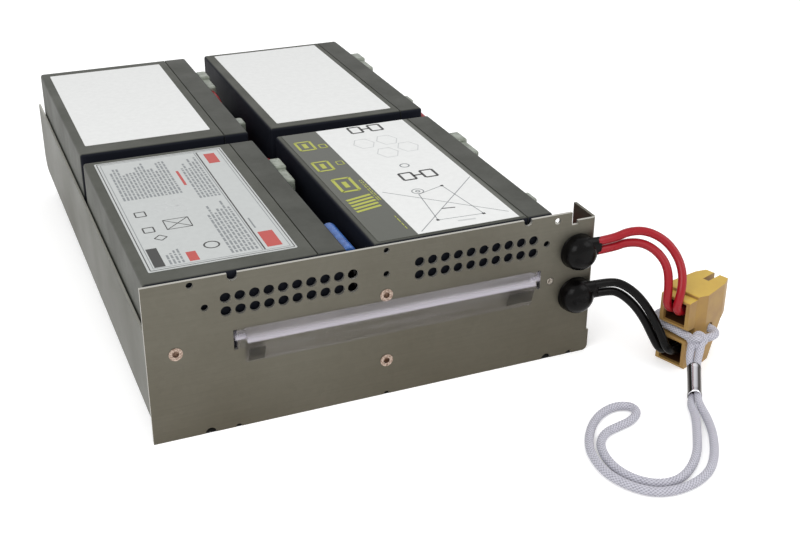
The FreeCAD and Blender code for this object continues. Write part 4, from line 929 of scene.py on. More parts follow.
@dataclass(frozen=True)
class BraidedFibre(Finish):
    """White braided cord of fine soft filaments, with painted shade that makes it greyer between the crowns.
    """

    colour: str
    painted_hollow_shade: str
    filament_mm: float = 0.3

    def wire(self, tree: bpy.types.NodeTree) -> bpy.types.NodeSocket:
        """Colour from the height stored on the braid, with painted shade in the hollows, under fine fluff and
        a soft sheen.

        The filaments are too fine to show, so their fluff is drawn 0.3 mm apart.

        Args:
            tree: The material's node tree.

        Returns:
            The shader's output.
        """
        where = node(tree, "ShaderNodeTexCoord").outputs["Object"]
        crown = node(tree, "ShaderNodeAttribute", attribute_name="crown")
        tone = node(tree, "ShaderNodeValToRGB", {"Fac": crown.outputs["Fac"]},
                    stops=((0.05, self.painted_hollow_shade), (0.6, self.colour)))
        hair = node(tree, "ShaderNodeTexNoise", {
            "Vector": where, "Scale": per(self.filament_mm), "Detail": 3.0})
        bump = node(tree, "ShaderNodeBump", {
            "Strength": 0.5, "Distance": 0.0001, "Height": hair.outputs["Fac"]})
        return node(tree, "ShaderNodeBsdfPrincipled", {
            "Base Color": tone.outputs[0], "Roughness": 0.82, "Sheen Weight": 0.35, "Sheen Roughness": 0.4,
            "Normal": bump.outputs[0]}).outputs[0]


class Finishes:
    """Every finish of the cartridge, with colours matched to the photograph under even light."""

    # Rolled, plated and folded steel: dull warm grey with faint lines, bright where it was sheared
    panel = ZincPlatedSheet("zinc_plated_panel", "#666359", "#565145", "#b9b7b0", Cut.PUNCHED_FRONT)
    tray = ZincPlatedSheet("zinc_plated_tray", "#5b5b52", "#514f46", "#b4b3ab", Cut.WALL_TOPS)
    # Rivets, headed cold: a worn pinkish gloss under copper plate, and a grey one on bare steel
    copper = BareMetal("copper_plated_rivet", "#b5a396", "#7a6457", 0.30)
    rivet = BareMetal("steel_rivet", "#a8a7a1", "#74726b", 0.34)
    # Dipped tin and silver plate: pale metals with cloudy spots, the silver warmer and glossier
    tin = BareMetal("tinned_blade", "#c2c0b8", "#8e8b82", 0.30)
    silver = BareMetal("silver_plated_contact", "#cdc8bb", "#8b8474", 0.26)
    # Nickel on a drawn and crimped tube: the one mirror here, with a painted reflection, pale with dark sides
    ferrule = PolishedTube("polished_nickel_ferrule", "#eeeef2", "#3a3431")
    # Turned steel pressed into the panel: a small brownish gloss
    insert = BareMetal("pressed_in_stud", "#a39c92", "#6f675d", 0.28)
    # Moulded ABS: charcoal grey, partly dust and partly painted sheen, the lid's a little darker as painted
    # shade, with a fine grain half a millimetre wide
    case = BatteryShell("abs_battery_case", "#494a44", "#51524c", 0.52, specular=0.15)
    lid = BatteryShell("abs_battery_lid", "#41423d", "#4a4b46", 0.50, specular=0.15)
    # Moulded rubber: near black and smooth, with soft waves 2.4 mm wide that break its gloss
    boot = MouldedPlastic("moulded_rubber_boot", "#060505", "#0b0a0a", 0.24, 2.4, 0.0002, 0.1)
    # Moulded polycarbonate: satin yellow, with painted shade that browns its upright faces and darkens the
    # mouths for the leads
    connector = SideShadedPlastic("moulded_polycarbonate_housing", "#caac4c", "#bd9a42", 0.5, 0.6,
                                 0.00004, 0.3)
    # Closed-cell foam, cut from sheet: dark and dead matt, with cells 0.8 mm wide
    foam = MouldedPlastic("closed_cell_foam", "#232321", "#2c2c2a", 0.9, 0.8, 0.0003)
    # Extruded PVC: deep colour and a narrow gloss along the lead, dulled in dusty patches
    red = LeadInsulation("red_pvc_insulation", "#960d1b", "#8e1c28")
    black = LeadInsulation("black_pvc_insulation", "#060505", "#0e0d0c", 0.2, 0.12)
    # Moulded natural nylon: grey-green and milky, so that its edges pass some light
    nylon = MilkyNylon("natural_nylon_sleeve", "#8f958a", "#72786c")
    # Sleeve shrunk on with heat: blue, with a soft broken gloss
    splice = MilkyNylon("blue_shrunk_sleeve", "#3b69b0", "#2a5397", 0.6, 0.35)
    # Cast polyester film: clear with a sharp gloss, a painted highlight in white at its crease, and dull
    # where welded
    film = ClearFilm("clear_polyester_film", "#fcfcfd", "#cbc6d0", 0.01, 0.5)
    weld = ClearFilm("welded_film_end", "#dcdbda", "#57554f", 0.12)
    # Face stocks: satin and slightly cockled, the silver one with a little metal in it
    label_silver = PrintedStock("silver_face_stock", "#bdc0bf", 0.42, 0.25)
    label_white = PrintedStock("white_face_stock", "#dfe0df", 0.5)
    label_smoke = PrintedStock("smoked_film_stock", "#43453c", 0.36)
    # Printed inks: flat colours, a little duller than the stock under them
    ink_black = PrintedStock("black_label_ink", "#2c2c2b", 0.5)
    ink_grey = PrintedStock("grey_label_ink", "#808486", 0.5)
    ink_pale = PrintedStock("pale_grey_label_ink", "#c0c2c2", 0.5)
    ink_red = PrintedStock("red_label_ink", "#b2453f", 0.5)
    ink_lime = PrintedStock("yellow_green_label_ink", "#a7ab3d", 0.45)
    # Braided fibre: bluish white crowns over hollows greyed with painted shade, without gloss
    cord = BraidedFibre("white_braided_cord", "#c2c1cb", "#6e6d79")


# Printed labels


@dataclass
class PrintSheet:
    """Flat shapes of ink on one label, gathered as arrays and made one mesh.

    A point (u, v) of the sheet lies u millimetres across and v millimetres along the label.
    """

    name: str
    origin: Point
    lift: float = 0.03
    thickness: float = 0.02
    shapes: list[tuple[np.ndarray, int]] = field(default_factory=list)
    inks: list[Finish] = field(default_factory=list)

    def ink(self, finish: Finish) -> int:
        """Number of an ink on this sheet, added at its first use.

        Args:
            finish: The ink.

        Returns:
            Its place in the sheet's list of inks.
        """
        if finish not in self.inks:
            self.inks.append(finish)
        return self.inks.index(finish)

    def blocks(self, finish: Finish, boxes: Any) -> None:
        """Filled rectangles, each given as low u, low v, high u and high v.

        Args:
            finish: The ink.
            boxes: One row of four numbers for each rectangle.
        """
        b = np.atleast_2d(np.asarray(boxes, float))
        corners = np.stack((b[:, [0, 1]], b[:, [2, 1]], b[:, [2, 3]], b[:, [0, 3]]), 1)
        self.shapes.append((corners, self.ink(finish)))

    def strokes(self, finish: Finish, lines: Any, width: float) -> None:
        """Straight strokes: each corner is an end moved by half the width along the stroke's normal.

        Args:
            finish: The ink.
            lines: One row of start u, start v, end u and end v for each stroke.
            width: Width of the strokes in millimetres.
        """
        s = np.atleast_2d(np.asarray(lines, float))
        a, b = s[:, :2], s[:, 2:]
        along = (b - a) / np.linalg.norm(b - a, axis=1, keepdims=True)
        off = np.stack((-along[:, 1], along[:, 0]), -1) * width / 2
        self.shapes.append((np.stack((a - off, b - off, b + off, a + off), 1), self.ink(finish)))

    def ring(self, finish: Finish, centre: tuple[float, float], radius: float, width: float) -> None:
        """Ring of 24 short strokes between points at equal angles.

        Args:
            finish: The ink.
            centre: Middle of the ring.
            radius: Middle radius in millimetres.
            width: Width of the ring in millimetres.
        """
        angle = np.radians(np.linspace(0.0, 360.0, 25))
        inner, outer = radius - width / 2, radius + width / 2
        unit = np.stack((np.cos(angle), np.sin(angle)), -1)
        low, high = np.array(centre) + unit * inner, np.array(centre) + unit * outer
        self.shapes.append((np.stack((low[:-1], high[:-1], high[1:], low[1:]), 1), self.ink(finish)))

    def outline(self, finish: Finish, points: Any, width: float) -> None:
        """Closed outline of straight strokes from each point to the next.

        Args:
            finish: The ink.
            points: One row of u and v for each corner.
            width: Width of the strokes in millimetres.
        """
        p = np.asarray(points, float)
        self.strokes(finish, np.concatenate((p, np.roll(p, -1, 0)), 1), width)

    def hexagon(self, finish: Finish, centre: tuple[float, float], half: tuple[float, float],
                width: float) -> None:
        """Outline of a hexagon, whose corners lie every 60 degrees on an ellipse.

        Args:
            finish: The ink.
            centre: Middle of the shape.
            half: Half widths of the ellipse along u and v.
            width: Width of the strokes in millimetres.
        """
        turn = np.radians(np.arange(6) * 60.0)
        reach = np.stack((half[0] * np.cos(turn), half[1] * np.sin(turn)), -1)
        self.outline(finish, np.array(centre) + reach, width)

    def frame(self, finish: Finish, box: tuple[float, float, float, float], width: float) -> None:
        """Outline of a rectangle in four strokes.

        Args:
            finish: The ink.
            box: Low u, low v, high u and high v.
            width: Width of the strokes in millimetres.
        """
        u0, v0, u1, v1 = box
        self.outline(finish, ((u0, v0), (u1, v0), (u1, v1), (u0, v1)), width)

    def text_lines(self, finish: Finish, box: tuple[float, float, float, float], pitch: float,
                   height: float, seed: int) -> None:
        """Rows of short bars that stand for small print, as long as words and with ragged ends.

        Args:
            finish: The ink.
            box: Area that the rows fill; the rows run along v.
            pitch: Distance between rows.
            height: Height of the bars.
            seed: Seed of the word lengths.
        """
        rng = np.random.default_rng(seed)
        space, average = 0.9, 3.0
        u0, v0, u1, v1 = box
        rows = np.arange(u0 + pitch / 2, u1, pitch)
        per_row = int((v1 - v0) / average)
        words = rng.uniform(1.2, 5.0, (len(rows), per_row))
        ends = np.cumsum(words + space, axis=1)
        starts = ends - words - space
        limit = (v1 - v0) * rng.uniform(0.72, 1.0, (len(rows), 1))
        keep = ends - space < limit
        u = np.broadcast_to(rows[:, None], words.shape)[keep]
        low, high = v0 + starts[keep], v0 + (ends - space)[keep]
        self.blocks(finish, np.stack((u - height / 2, low, u + height / 2, high), -1))

    def make(self, slot: str) -> None:
        """Turns the shapes into thin closed plates just above the label, with a material for each ink.

        Args:
            slot: Name of the label's material slot; not used.
        """
        flat = np.concatenate([corners for corners, _ in self.shapes])
        inks = np.concatenate([np.full(len(corners), number) for corners, number in self.shapes])
        low = np.concatenate((flat, np.full((len(flat), 4, 1), self.lift - self.thickness)), 2)
        points, faces = slabs(low, (0.0, 0.0, self.thickness))
        made = add_mesh(self.name, place(points + np.array(self.origin)), faces, smooth=False)
        for finish in self.inks:
            made.data.materials.append(finish.material())
        made.data.polygons.foreach_set("material_index", np.repeat(inks, 6).astype(np.int32))
        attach(made, BODY)
        LOG.info("print %s with %d shapes", self.name, len(flat))


# Sub-assemblies


@dataclass
class Tray:
    """Folded tray, front panel and their rivets, with the pressed-in stud of the panel."""

    nodes: dict[str, bpy.types.Object]
    stud_centre: tuple[float, float] = (201.7, 44.3)
    stud_radius: float = 1.75
    stud_depth: float = 1.3

    def build(self) -> None:
        """Dresses the sheet-metal nodes and adds the stud."""
        dress_node(self.nodes, "tray", Finishes.tray)
        dress_node(self.nodes, "front_panel", Finishes.panel)
        dress_node(self.nodes, "panel_rivets", Finishes.copper)
        dress_node(self.nodes, "flange_rivets", Finishes.rivet)
        dress_node(self.nodes, "foam_pads", Finishes.foam)
        dress(self.stud(), Finishes.insert)

    def stud(self) -> bpy.types.Object:
        """Shallow dome with a small socket in its middle, turned about the axis into the panel.

        Returns:
            The stud's mesh.
        """
        shape = np.array(((0.0, 0.10), (0.30, 0.08), (0.42, -0.12), (0.80, -0.16), (0.97, -0.06), (1.0, 0.1),
                          (1.0, 1.0), (0.0, 1.0)))
        x, z = self.stud_centre
        return lathe("panel_stud", shape * (self.stud_radius, self.stud_depth), place((x, 0.0, z)),
                     (0.0, 1.0, 0.0), sides=32)


class Stock(Enum):
    """Face stocks of the four battery labels."""

    SILVER = "silver"
    SMOKE = "smoked film with a white field"
    WHITE = "white"


@dataclass
class Battery:
    """One sealed battery with its lid, terminals, sleeves and label."""

    nodes: dict[str, bpy.types.Object]
    position: str
    corner: Point
    stock: Stock
    height: float = 65.0
    label_thickness: float = 0.2

    def build(self) -> None:
        """Dresses the battery's nodes and prints its label."""
        stem = "battery_%s_" % self.position
        stocks = {Stock.SILVER: Finishes.label_silver, Stock.SMOKE: Finishes.label_smoke,
                  Stock.WHITE: Finishes.label_white}
        dress_node(self.nodes, stem + "case", Finishes.case)
        dress_node(self.nodes, stem + "lid", Finishes.lid)
        dress_node(self.nodes, stem + "terminals", Finishes.tin)
        dress_node(self.nodes, stem + "flag_sleeve", Finishes.nylon)
        if stem + "straight_sleeve" in self.nodes:
            dress_node(self.nodes, stem + "straight_sleeve", Finishes.nylon)
        dress_node(self.nodes, stem + "label", stocks[self.stock])
        if self.stock is Stock.SILVER:
            self.print_silver()
        elif self.stock is Stock.SMOKE:
            self.print_smoke()

    def sheet(self) -> PrintSheet:
        """An empty print sheet on the label, measured from the battery's corner.

        Returns:
            The sheet, with its origin on the face of the label.
        """
        x, y, z = self.corner
        top = z + self.height + self.label_thickness
        return PrintSheet("battery_%s_print" % self.position, (x, y, top))

    def print_silver(self) -> None:
        """Border lines, rows of small bars, plain shapes and a ruled-off column on the silver label."""
        page = self.sheet()
        page.frame(Finishes.ink_black, (6.2, 11.8, 72.8, 144.8), 0.45)
        page.frame(Finishes.ink_grey, (7.8, 13.4, 71.2, 143.2), 0.35)
        page.strokes(Finishes.ink_black, ((59.4, 14.0, 59.4, 142.6),), 0.7)
        page.strokes(Finishes.ink_grey, ((58.2, 14.0, 58.2, 142.6),), 0.4)
        page.blocks(Finishes.ink_red, ((62.4, 125.0, 68.4, 139.0), (61.2, 16.0, 68.4, 33.0),
                                       (43.0, 101.0, 44.4, 121.0), (24.8, 15.0, 29.4, 24.6)))
        page.blocks(Finishes.ink_black, ((8.6, 14.2, 13.6, 34.0),))
        page.blocks(Finishes.ink_grey, ((61.4, 38.0, 62.2, 50.0),))
        page.text_lines(Finishes.ink_grey, (10.0, 92.0, 41.0, 140.0), 1.9, 1.1, 4)
        page.text_lines(Finishes.ink_grey, (46.0, 82.0, 56.6, 140.0), 1.9, 1.1, 6)
        page.text_lines(Finishes.ink_grey, (44.0, 16.0, 56.6, 78.0), 1.9, 1.1, 9)
        page.text_lines(Finishes.ink_grey, (15.4, 15.0, 22.6, 32.0), 1.9, 1.0, 13)
        for centre in ((25.0, 77.6), (32.4, 81.0), (34.6, 73.4)):
            page.hexagon(Finishes.ink_pale, centre, (3.6, 4.2), 0.5)
        page.frame(Finishes.ink_black, (12.0, 70.4, 17.0, 76.0), 0.7)
        page.frame(Finishes.ink_black, (12.0, 51.4, 17.0, 57.0), 0.7)
        self.folded_box(page, (29.0, 57.0), 11.0)
        self.diamond(page, (18.0, 44.0), 6.0)
        page.ring(Finishes.ink_black, (38.0, 28.0), 3.5, 0.8)
        page.make("label_silver")

    def folded_box(self, page: PrintSheet, centre: tuple[float, float], size: float) -> None:
        """A rectangle with its two diagonals, as on a folded sheet.

        Args:
            page: The sheet to draw on.
            centre: Middle of the shape.
            size: Its width in millimetres.
        """
        u, v = centre
        wide, tall = size * 0.55, size * 0.5
        page.frame(Finishes.ink_black, (u - wide, v - tall, u + wide, v + tall), 0.5)
        page.strokes(Finishes.ink_black, ((u - wide, v - tall, u + wide, v + tall),
                                          (u - wide, v + tall, u + wide, v - tall)), 0.5)

    def diamond(self, page: PrintSheet, centre: tuple[float, float], size: float) -> None:
        """An empty square standing on its corner.

        Args:
            page: The sheet to draw on.
            centre: Middle of the shape.
            size: Its width in millimetres.
        """
        u, v = centre
        half = size * 0.5
        page.outline(Finishes.ink_black, ((u - half, v), (u, v - half), (u + half, v), (u, v + half)), 0.6)

    def print_smoke(self) -> None:
        """White field on the smoked film, with marks in the dark strip and line drawings on the white."""
        page = self.sheet()
        page.blocks(Finishes.label_white, ((23.4, 2.4, 76.6, 149.0),))
        page.make("label_film")
        marks = PrintSheet("battery_%s_marks" % self.position, page.origin, lift=0.06)
        self.strip_marks(marks)
        self.line_drawings(marks)
        marks.make("label_film")

    def strip_marks(self, page: PrintSheet) -> None:
        """Heavy yellow-green boxes, a slanted fan of bars and small open boxes down the dark strip.

        Args:
            page: The sheet to draw on.
        """
        lime = Finishes.ink_lime
        for u, v, size in ((10.6, 129.6, 4.2), (10.0, 98.4, 4.2)):
            page.frame(lime, (u - size, v - size * 1.5, u + size, v + size * 1.5), 1.4)
            page.blocks(lime, ((u - size * 0.3, v - size * 0.8, u + size * 0.3, v + size * 0.8),))
        page.frame(lime, (8.0, 62.0, 17.0, 79.0), 1.7)
        page.blocks(lime, ((11.2, 66.6, 13.8, 74.4),))
        fan = 36.6 + 3.6 * np.arange(5)[:, None] + np.array((0.0, 3.4))
        page.strokes(lime, np.stack((np.full(5, 5.6), fan[:, 0], np.full(5, 19.6), fan[:, 1]), -1), 2.0)
        page.frame(lime, (17.8, 123.6, 21.6, 128.8), 0.8)
        page.frame(lime, (18.2, 97.2, 21.8, 102.0), 0.6)
        page.text_lines(lime, (20.2, 46.0, 22.6, 80.0), 1.2, 0.5, 31)
        page.text_lines(lime, (20.2, 10.0, 22.0, 34.0), 1.6, 0.5, 33)

    def line_drawings(self, page: PrintSheet) -> None:
        """Hexagons, rings joined by bars, and a four-cornered outline with two long crossing lines.

        Args:
            page: The sheet to draw on.
        """
        for centre in ((42.0, 121.0), (56.0, 122.0), (49.4, 104.0), (63.0, 108.0)):
            page.hexagon(Finishes.ink_pale, centre, (6.0, 7.6), 0.5)
        for u, v in ((51.0, 142.6), (52.0, 68.8)):
            page.frame(Finishes.ink_black, (u - 9.4, v - 4.6, u - 2.6, v + 4.6), 1.4)
            page.frame(Finishes.ink_black, (u + 2.6, v - 4.6, u + 9.4, v + 4.6), 1.4)
            page.blocks(Finishes.ink_black, ((u - 2.6, v - 0.7, u + 2.6, v + 0.7),))
        page.ring(Finishes.ink_grey, (50.4, 83.2), 2.4, 0.8)
        page.ring(Finishes.ink_grey, (43.2, 48.9), 3.0, 0.6)
        page.ring(Finishes.ink_grey, (43.2, 48.9), 1.0, 0.7)
        corner = np.array(((42.2, 45.3), (57.5, 51.0), (62.2, 12.1), (38.4, 13.4)))
        page.outline(Finishes.ink_grey, corner, 0.45)
        page.blocks(Finishes.ink_black, np.concatenate((corner[1:] - 0.8, corner[1:] + 0.8), 1))
        page.strokes(Finishes.ink_grey, ((26.0, 4.5, 76.0, 56.4), (26.2, 54.5, 74.5, 9.6)), 0.45)
        page.strokes(Finishes.ink_black, ((45.6, 25.0, 52.4, 23.9),), 0.9)
        page.strokes(Finishes.ink_pale, ((47.0, 9.0, 56.0, 8.2),), 1.4)


@dataclass
class Boot:
    """Rubber boot on the panel: a domed cap, and a short collar for two leads."""

    which: str
    height: float
    axis_x: float = 216.2
    radius: float = 9.2
    rise: float = 9.0
    collar_reach: float = 9.9
    collar_half: tuple[float, float] = (2.5, 4.85)
    standoff: float = 4.5
    climb: float = 3.2

    def build(self) -> None:
        """Makes the cap and the collar in place of the plain boot."""
        cap = dress(self.cap(), Finishes.boot)
        collar = dress(self.collar(), Finishes.boot)
        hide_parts("boot_" + self.which)
        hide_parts("boot_" + self.which)

    def cap(self) -> bpy.types.Object:
        """Dome on the superellipse (r / radius) ^ 2.7 + (y / rise) ^ 2.7 = 1, over a thin rolled lip.

        Returns:
            The cap's mesh.
        """
        t = np.linspace(0.0, np.pi / 2, 22)
        dome = np.stack((self.radius * np.sin(t) ** (2 / 2.7), -self.rise * np.cos(t) ** (2 / 2.7)), -1)
        lip = np.array(((self.radius, -0.6), (self.radius + 0.25, -0.4), (self.radius + 0.25, -0.1),
                        (self.radius, 0.0), (6.3, 0.02), (6.3, 2.4), (0.0, 2.4)))
        return lathe("boot_%s_cap" % self.which, np.concatenate((dome[:-1], lip)),
                     place((self.axis_x, 0.0, self.height)), (0.0, 1.0, 0.0))

    def collar(self) -> bpy.types.Object:
        """Oval tube along x: 1 / radius(s, a) ^ 2 = (cos a / depth) ^ 2 + (sin a / height) ^ 2, tapered.

        Returns:
            The collar's mesh, a little narrower at its end and rounded off over the last tenth.
        """
        s = np.linspace(0.0, 1.0, 30)
        line = np.zeros((30, 3)) + (self.axis_x, -self.standoff, self.height + self.climb)
        line[:, 0] += s * self.collar_reach
        angle = np.linspace(0.0, 2.0 * np.pi, 40, endpoint=False)
        depth, height = self.collar_half
        oval = 1.0 / np.sqrt((np.cos(angle) / depth) ** 2 + (np.sin(angle) / height) ** 2)
        taper = (1.06 - 0.06 * s) * np.sqrt(1.0 - 0.3 * np.clip((s - 0.9) / 0.1, 0.0, 1.0) ** 2)
        return tube("boot_%s_collar" % self.which, place(line), taper[:, None] * oval[None, :] * MM)


@dataclass
class Wiring:
    """Leads inside the tray, the splice sleeve, the panel's boots and the four free leads."""

    nodes: dict[str, bpy.types.Object]
    lead_diameter: float = 4.4

    ROUTES = {
        "red_wire_1": ((0.1100, -0.1630, 0.0642), (0.1196, -0.1630, 0.0642), (0.1266, -0.1649, 0.0676),
                       (0.1344, -0.1687, 0.0682), (0.1420, -0.1739, 0.0642), (0.1462, -0.1797, 0.0574),
                       (0.1464, -0.1855, 0.0500), (0.1436, -0.1895, 0.0422), (0.1408, -0.1905, 0.0330),
                       (0.1469, -0.1876, 0.0296), (0.1514, -0.1860, 0.0296)),
        "red_wire_2": ((0.1100, -0.1630, 0.0592), (0.1196, -0.1630, 0.0592), (0.1258, -0.1647, 0.0616),
                       (0.1328, -0.1691, 0.0620), (0.1378, -0.1751, 0.0588), (0.1402, -0.1809, 0.0530),
                       (0.1394, -0.1847, 0.0444), (0.1383, -0.1859, 0.0336), (0.1453, -0.1832, 0.0296),
                       (0.1498, -0.1816, 0.0296)),
        "black_wire_1": ((0.1100, -0.1630, 0.0401), (0.1196, -0.1630, 0.0401), (0.1254, -0.1661, 0.0388),
                         (0.1306, -0.1719, 0.0346), (0.1342, -0.1783, 0.0280), (0.1364, -0.1849, 0.0200),
                         (0.1384, -0.1907, 0.0104), (0.1469, -0.1876, 0.0078), (0.1514, -0.1860, 0.0078)),
        "black_wire_2": ((0.1100, -0.1630, 0.0351), (0.1196, -0.1630, 0.0351), (0.1248, -0.1655, 0.0334),
                         (0.1294, -0.1709, 0.0290), (0.1324, -0.1769, 0.0230), (0.1344, -0.1821, 0.0158),
                         (0.1372, -0.1861, 0.0086), (0.1453, -0.1832, 0.0078), (0.1498, -0.1816, 0.0078)),
    }
    LENGTHS = {"red_wire_1": 0.084, "red_wire_2": 0.073, "black_wire_1": 0.069, "black_wire_2": 0.0625}

    def build(self) -> None:
        """Dresses what lies in the tray and lays the free leads."""
        for name in ("jumper_left", "jumper_right", "lead_red_left", "lead_red_right"):
            dress_node(self.nodes, name, Finishes.red)
        for name in ("lead_black_left", "lead_black_right"):
            dress_node(self.nodes, name, Finishes.black)
        Boot("upper", 58.5).build()
        Boot("lower", 34.4).build()
        dress_node(self.nodes, "splice_sleeve", Finishes.splice)
        dress_node(self.nodes, "connector_housing", Finishes.connector)
        dress_node(self.nodes, "connector_contacts", Finishes.silver)
        for name, route in self.ROUTES.items():
            self.free_lead(name, route)

    def free_lead(self, name: str, route: Route) -> None:
        """Round insulated lead on the spline of its route, from a boot's spout into the connector.

        Args:
            name: The node that the lead stands for.
            route: Control points in metres.
        """
        lead = spline(name + "_lead", route)
        lead.data.bevel_depth = self.lead_diameter / 2 * MM
        lead.data.bevel_resolution = 5
        lead.data.use_fill_caps = True
        finish = Finishes.red if name.startswith("red") else Finishes.black
        dress(lead, finish)
        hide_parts(name)


@dataclass
class PullCord:
    """Braided pull cord: its loop on the floor, the knot, and the turn round the connector's web."""

    nodes: dict[str, bpy.types.Object]
    diameter: float = 4.3
    braid_depth: float = 0.36
    carriers: int = 8
    lay_mm: float = 14.4
    squeeze_reach: float = 15.0
    squeeze_turn: float = 42.0
    squeeze_in: float = 0.24
    knot_scale: float = 1.15
    knot_share: float = 0.46

    LOOP = ((0.1481, -0.1969, 0.0177), (0.1427, -0.2032, 0.0108), (0.1395, -0.2082, 0.0092),
            (0.1313, -0.2212, 0.0050), (0.1281, -0.2263, 0.0034), (0.1258, -0.2341, 0.0023),
            (0.1178, -0.2469, 0.0023), (0.1076, -0.2617, 0.0023), (0.0931, -0.2729, 0.0023),
            (0.0813, -0.2735, 0.0023), (0.0726, -0.2667, 0.0023), (0.0686, -0.2560, 0.0023),
            (0.0692, -0.2448, 0.0023), (0.0729, -0.2357, 0.0023), (0.0796, -0.2301, 0.0023),
            (0.0870, -0.2284, 0.0023), (0.0952, -0.2267, 0.0023), (0.1021, -0.2218, 0.0023),
            (0.1020, -0.2158, 0.0023), (0.0950, -0.2130, 0.0023), (0.0852, -0.2159, 0.0023),
            (0.0753, -0.2237, 0.0023), (0.0662, -0.2366, 0.0023), (0.0632, -0.2485, 0.0023),
            (0.0636, -0.2601, 0.0023), (0.0692, -0.2715, 0.0023), (0.0778, -0.2783, 0.0023),
            (0.0909, -0.2791, 0.0023), (0.1040, -0.2747, 0.0023), (0.1138, -0.2659, 0.0023),
            (0.1232, -0.2521, 0.0023), (0.1292, -0.2393, 0.0023), (0.1318, -0.2286, 0.0034),
            (0.1350, -0.2236, 0.0050), (0.1432, -0.2106, 0.0092), (0.1464, -0.2055, 0.0108),
            (0.1518, -0.1992, 0.0177))
    WRAP = ((0.1523, -0.1972, 0.0177), (0.1586, -0.1985, 0.0181), (0.1634, -0.1955, 0.0185),
            (0.1620, -0.1888, 0.0187), (0.1552, -0.1702, 0.0187), (0.1511, -0.1670, 0.0187),
            (0.1457, -0.1685, 0.0187), (0.1430, -0.1732, 0.0187), (0.1444, -0.1808, 0.0187),
            (0.1466, -0.1891, 0.0185), (0.1487, -0.1966, 0.0181))
    KNOT = (0.1500, -0.1980, 0.0177)
    FERRULE = ((0.1422, -0.2081, 0.0096), (0.1323, -0.2237, 0.0046))

    def build(self) -> None:
        """Braids both stretches and ties the knot between them."""
        knot = dress(self.knot(), Finishes.cord)
        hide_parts("cord_knot")
        wrap_line = spline_line(self.WRAP)
        wrap = dress(self.braid("cord_turn", wrap_line), Finishes.cord)
        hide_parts("cord_wrap")
        loop_line = self.squeezed(spline_line(self.LOOP))
        loop = dress(self.braid("cord_loop", loop_line), Finishes.cord)
        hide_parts("pull_cord", "cord_strands")
        ferrule = dress(self.ferrule(), Finishes.ferrule)
        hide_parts("cord_ferrule")

    def ferrule_axis(self) -> tuple[np.ndarray, np.ndarray, np.ndarray]:
        """The ferrule's place, from its two ends.

        Returns:
            Its middle in metres, the unit vector down its axis, and half its length in metres.
        """
        top, bottom = (np.array(point) for point in self.FERRULE)
        span = bottom - top
        return (top + bottom) / 2, span / np.linalg.norm(span), np.linalg.norm(span) / 2

    def nearness(self, line: np.ndarray) -> np.ndarray:
        """Share of the ferrule's grip at each point: exp(-(s / reach) ^ 4) with s along its axis.

        Args:
            line: Points in metres, one per row.

        Returns:
            Values from 0 to 1, which are 0 more than two reaches away from its axis.
        """
        middle, axis, _ = self.ferrule_axis()
        s = (line - middle) @ axis
        away = np.linalg.norm(line - middle - s[:, None] * axis, axis=1)
        grip = np.exp(-(s / (self.squeeze_reach * MM)) ** 4)
        return np.where(away < 2.0 * self.squeeze_reach * MM, grip, 0.0)

    def squeezed(self, line: np.ndarray) -> np.ndarray:
        """Draws the two strands together in the ferrule, and turns one nearly behind the other.

        A point's offset o from the ferrule's axis becomes (1 - squeeze * grip) * (o cos t + axis x o
        sin t), where t is the turn times the grip.

        Args:
            line: Points in metres, one per row.

        Returns:
            The moved points, none of them nearer to the floor than half the cord's diameter.
        """
        middle, axis, _ = self.ferrule_axis()
        grip = self.nearness(line)[:, None]
        foot = middle + ((line - middle) @ axis)[:, None] * axis
        offset = line - foot
        turn = np.radians(self.squeeze_turn) * grip
        turned = offset * np.cos(turn) + np.cross(axis, offset) * np.sin(turn)
        moved = foot + (1.0 - self.squeeze_in * grip) * turned
        moved[:, 2] = np.maximum(moved[:, 2], self.diameter / 2 * MM)
        return moved

    def ferrule(self) -> bpy.types.Object:
        """Drawn tube of oval section, a little flared at both mouths, with closed recesses for the strands.

        Returns:
            The ferrule's mesh.
        """
        _, axis, half = self.ferrule_axis()
        length = 2.0 * half / MM
        mouth = np.array(((0.0, 1.6), (2.75, 1.6), (2.9, 1.3), (2.95, 0.4), (3.1, 0.06), (3.3, 0.08),
                          (3.5, 0.35), (3.52, 0.9), (3.42, 2.0), (3.38, 3.2)))
        far = np.stack((mouth[::-1, 0], length - mouth[::-1, 1]), -1)
        return lathe("cord_tube_ferrule", np.concatenate((mouth, far)), np.array(self.FERRULE[0]), axis,
                     stretch=1.22, sides=56)

    def braid_height(self, along: np.ndarray, angle: np.ndarray) -> np.ndarray:
        """Height of a two-way braid, from 0 in the hollows to 1 on the crowns.

        Two families of carriers run as helices of opposite hand.  With p = carriers * (angle / turn
        + along / lay) and q the same with a minus, a cell is one whole step of p and q.  Where the
        cell's number is even the first family lies on top, and its height is a half sine across the
        carrier times a flatter half sine along it; where it is odd the second family does.

        Args:
            along: Distance along the cord in millimetres.
            angle: Angle round the cord in radians.

        Returns:
            Heights, in the shape of the two arrays together.
        """
        p = self.carriers * (angle / (2.0 * np.pi) + along / self.lay_mm)
        q = self.carriers * (angle / (2.0 * np.pi) - along / self.lay_mm)
        over = (np.floor(p) + np.floor(q)) % 2 == 0
        a, b = np.sin(np.pi * (p % 1.0)), np.sin(np.pi * (q % 1.0))
        return np.where(over, a * b ** 0.35, b * a ** 0.35)

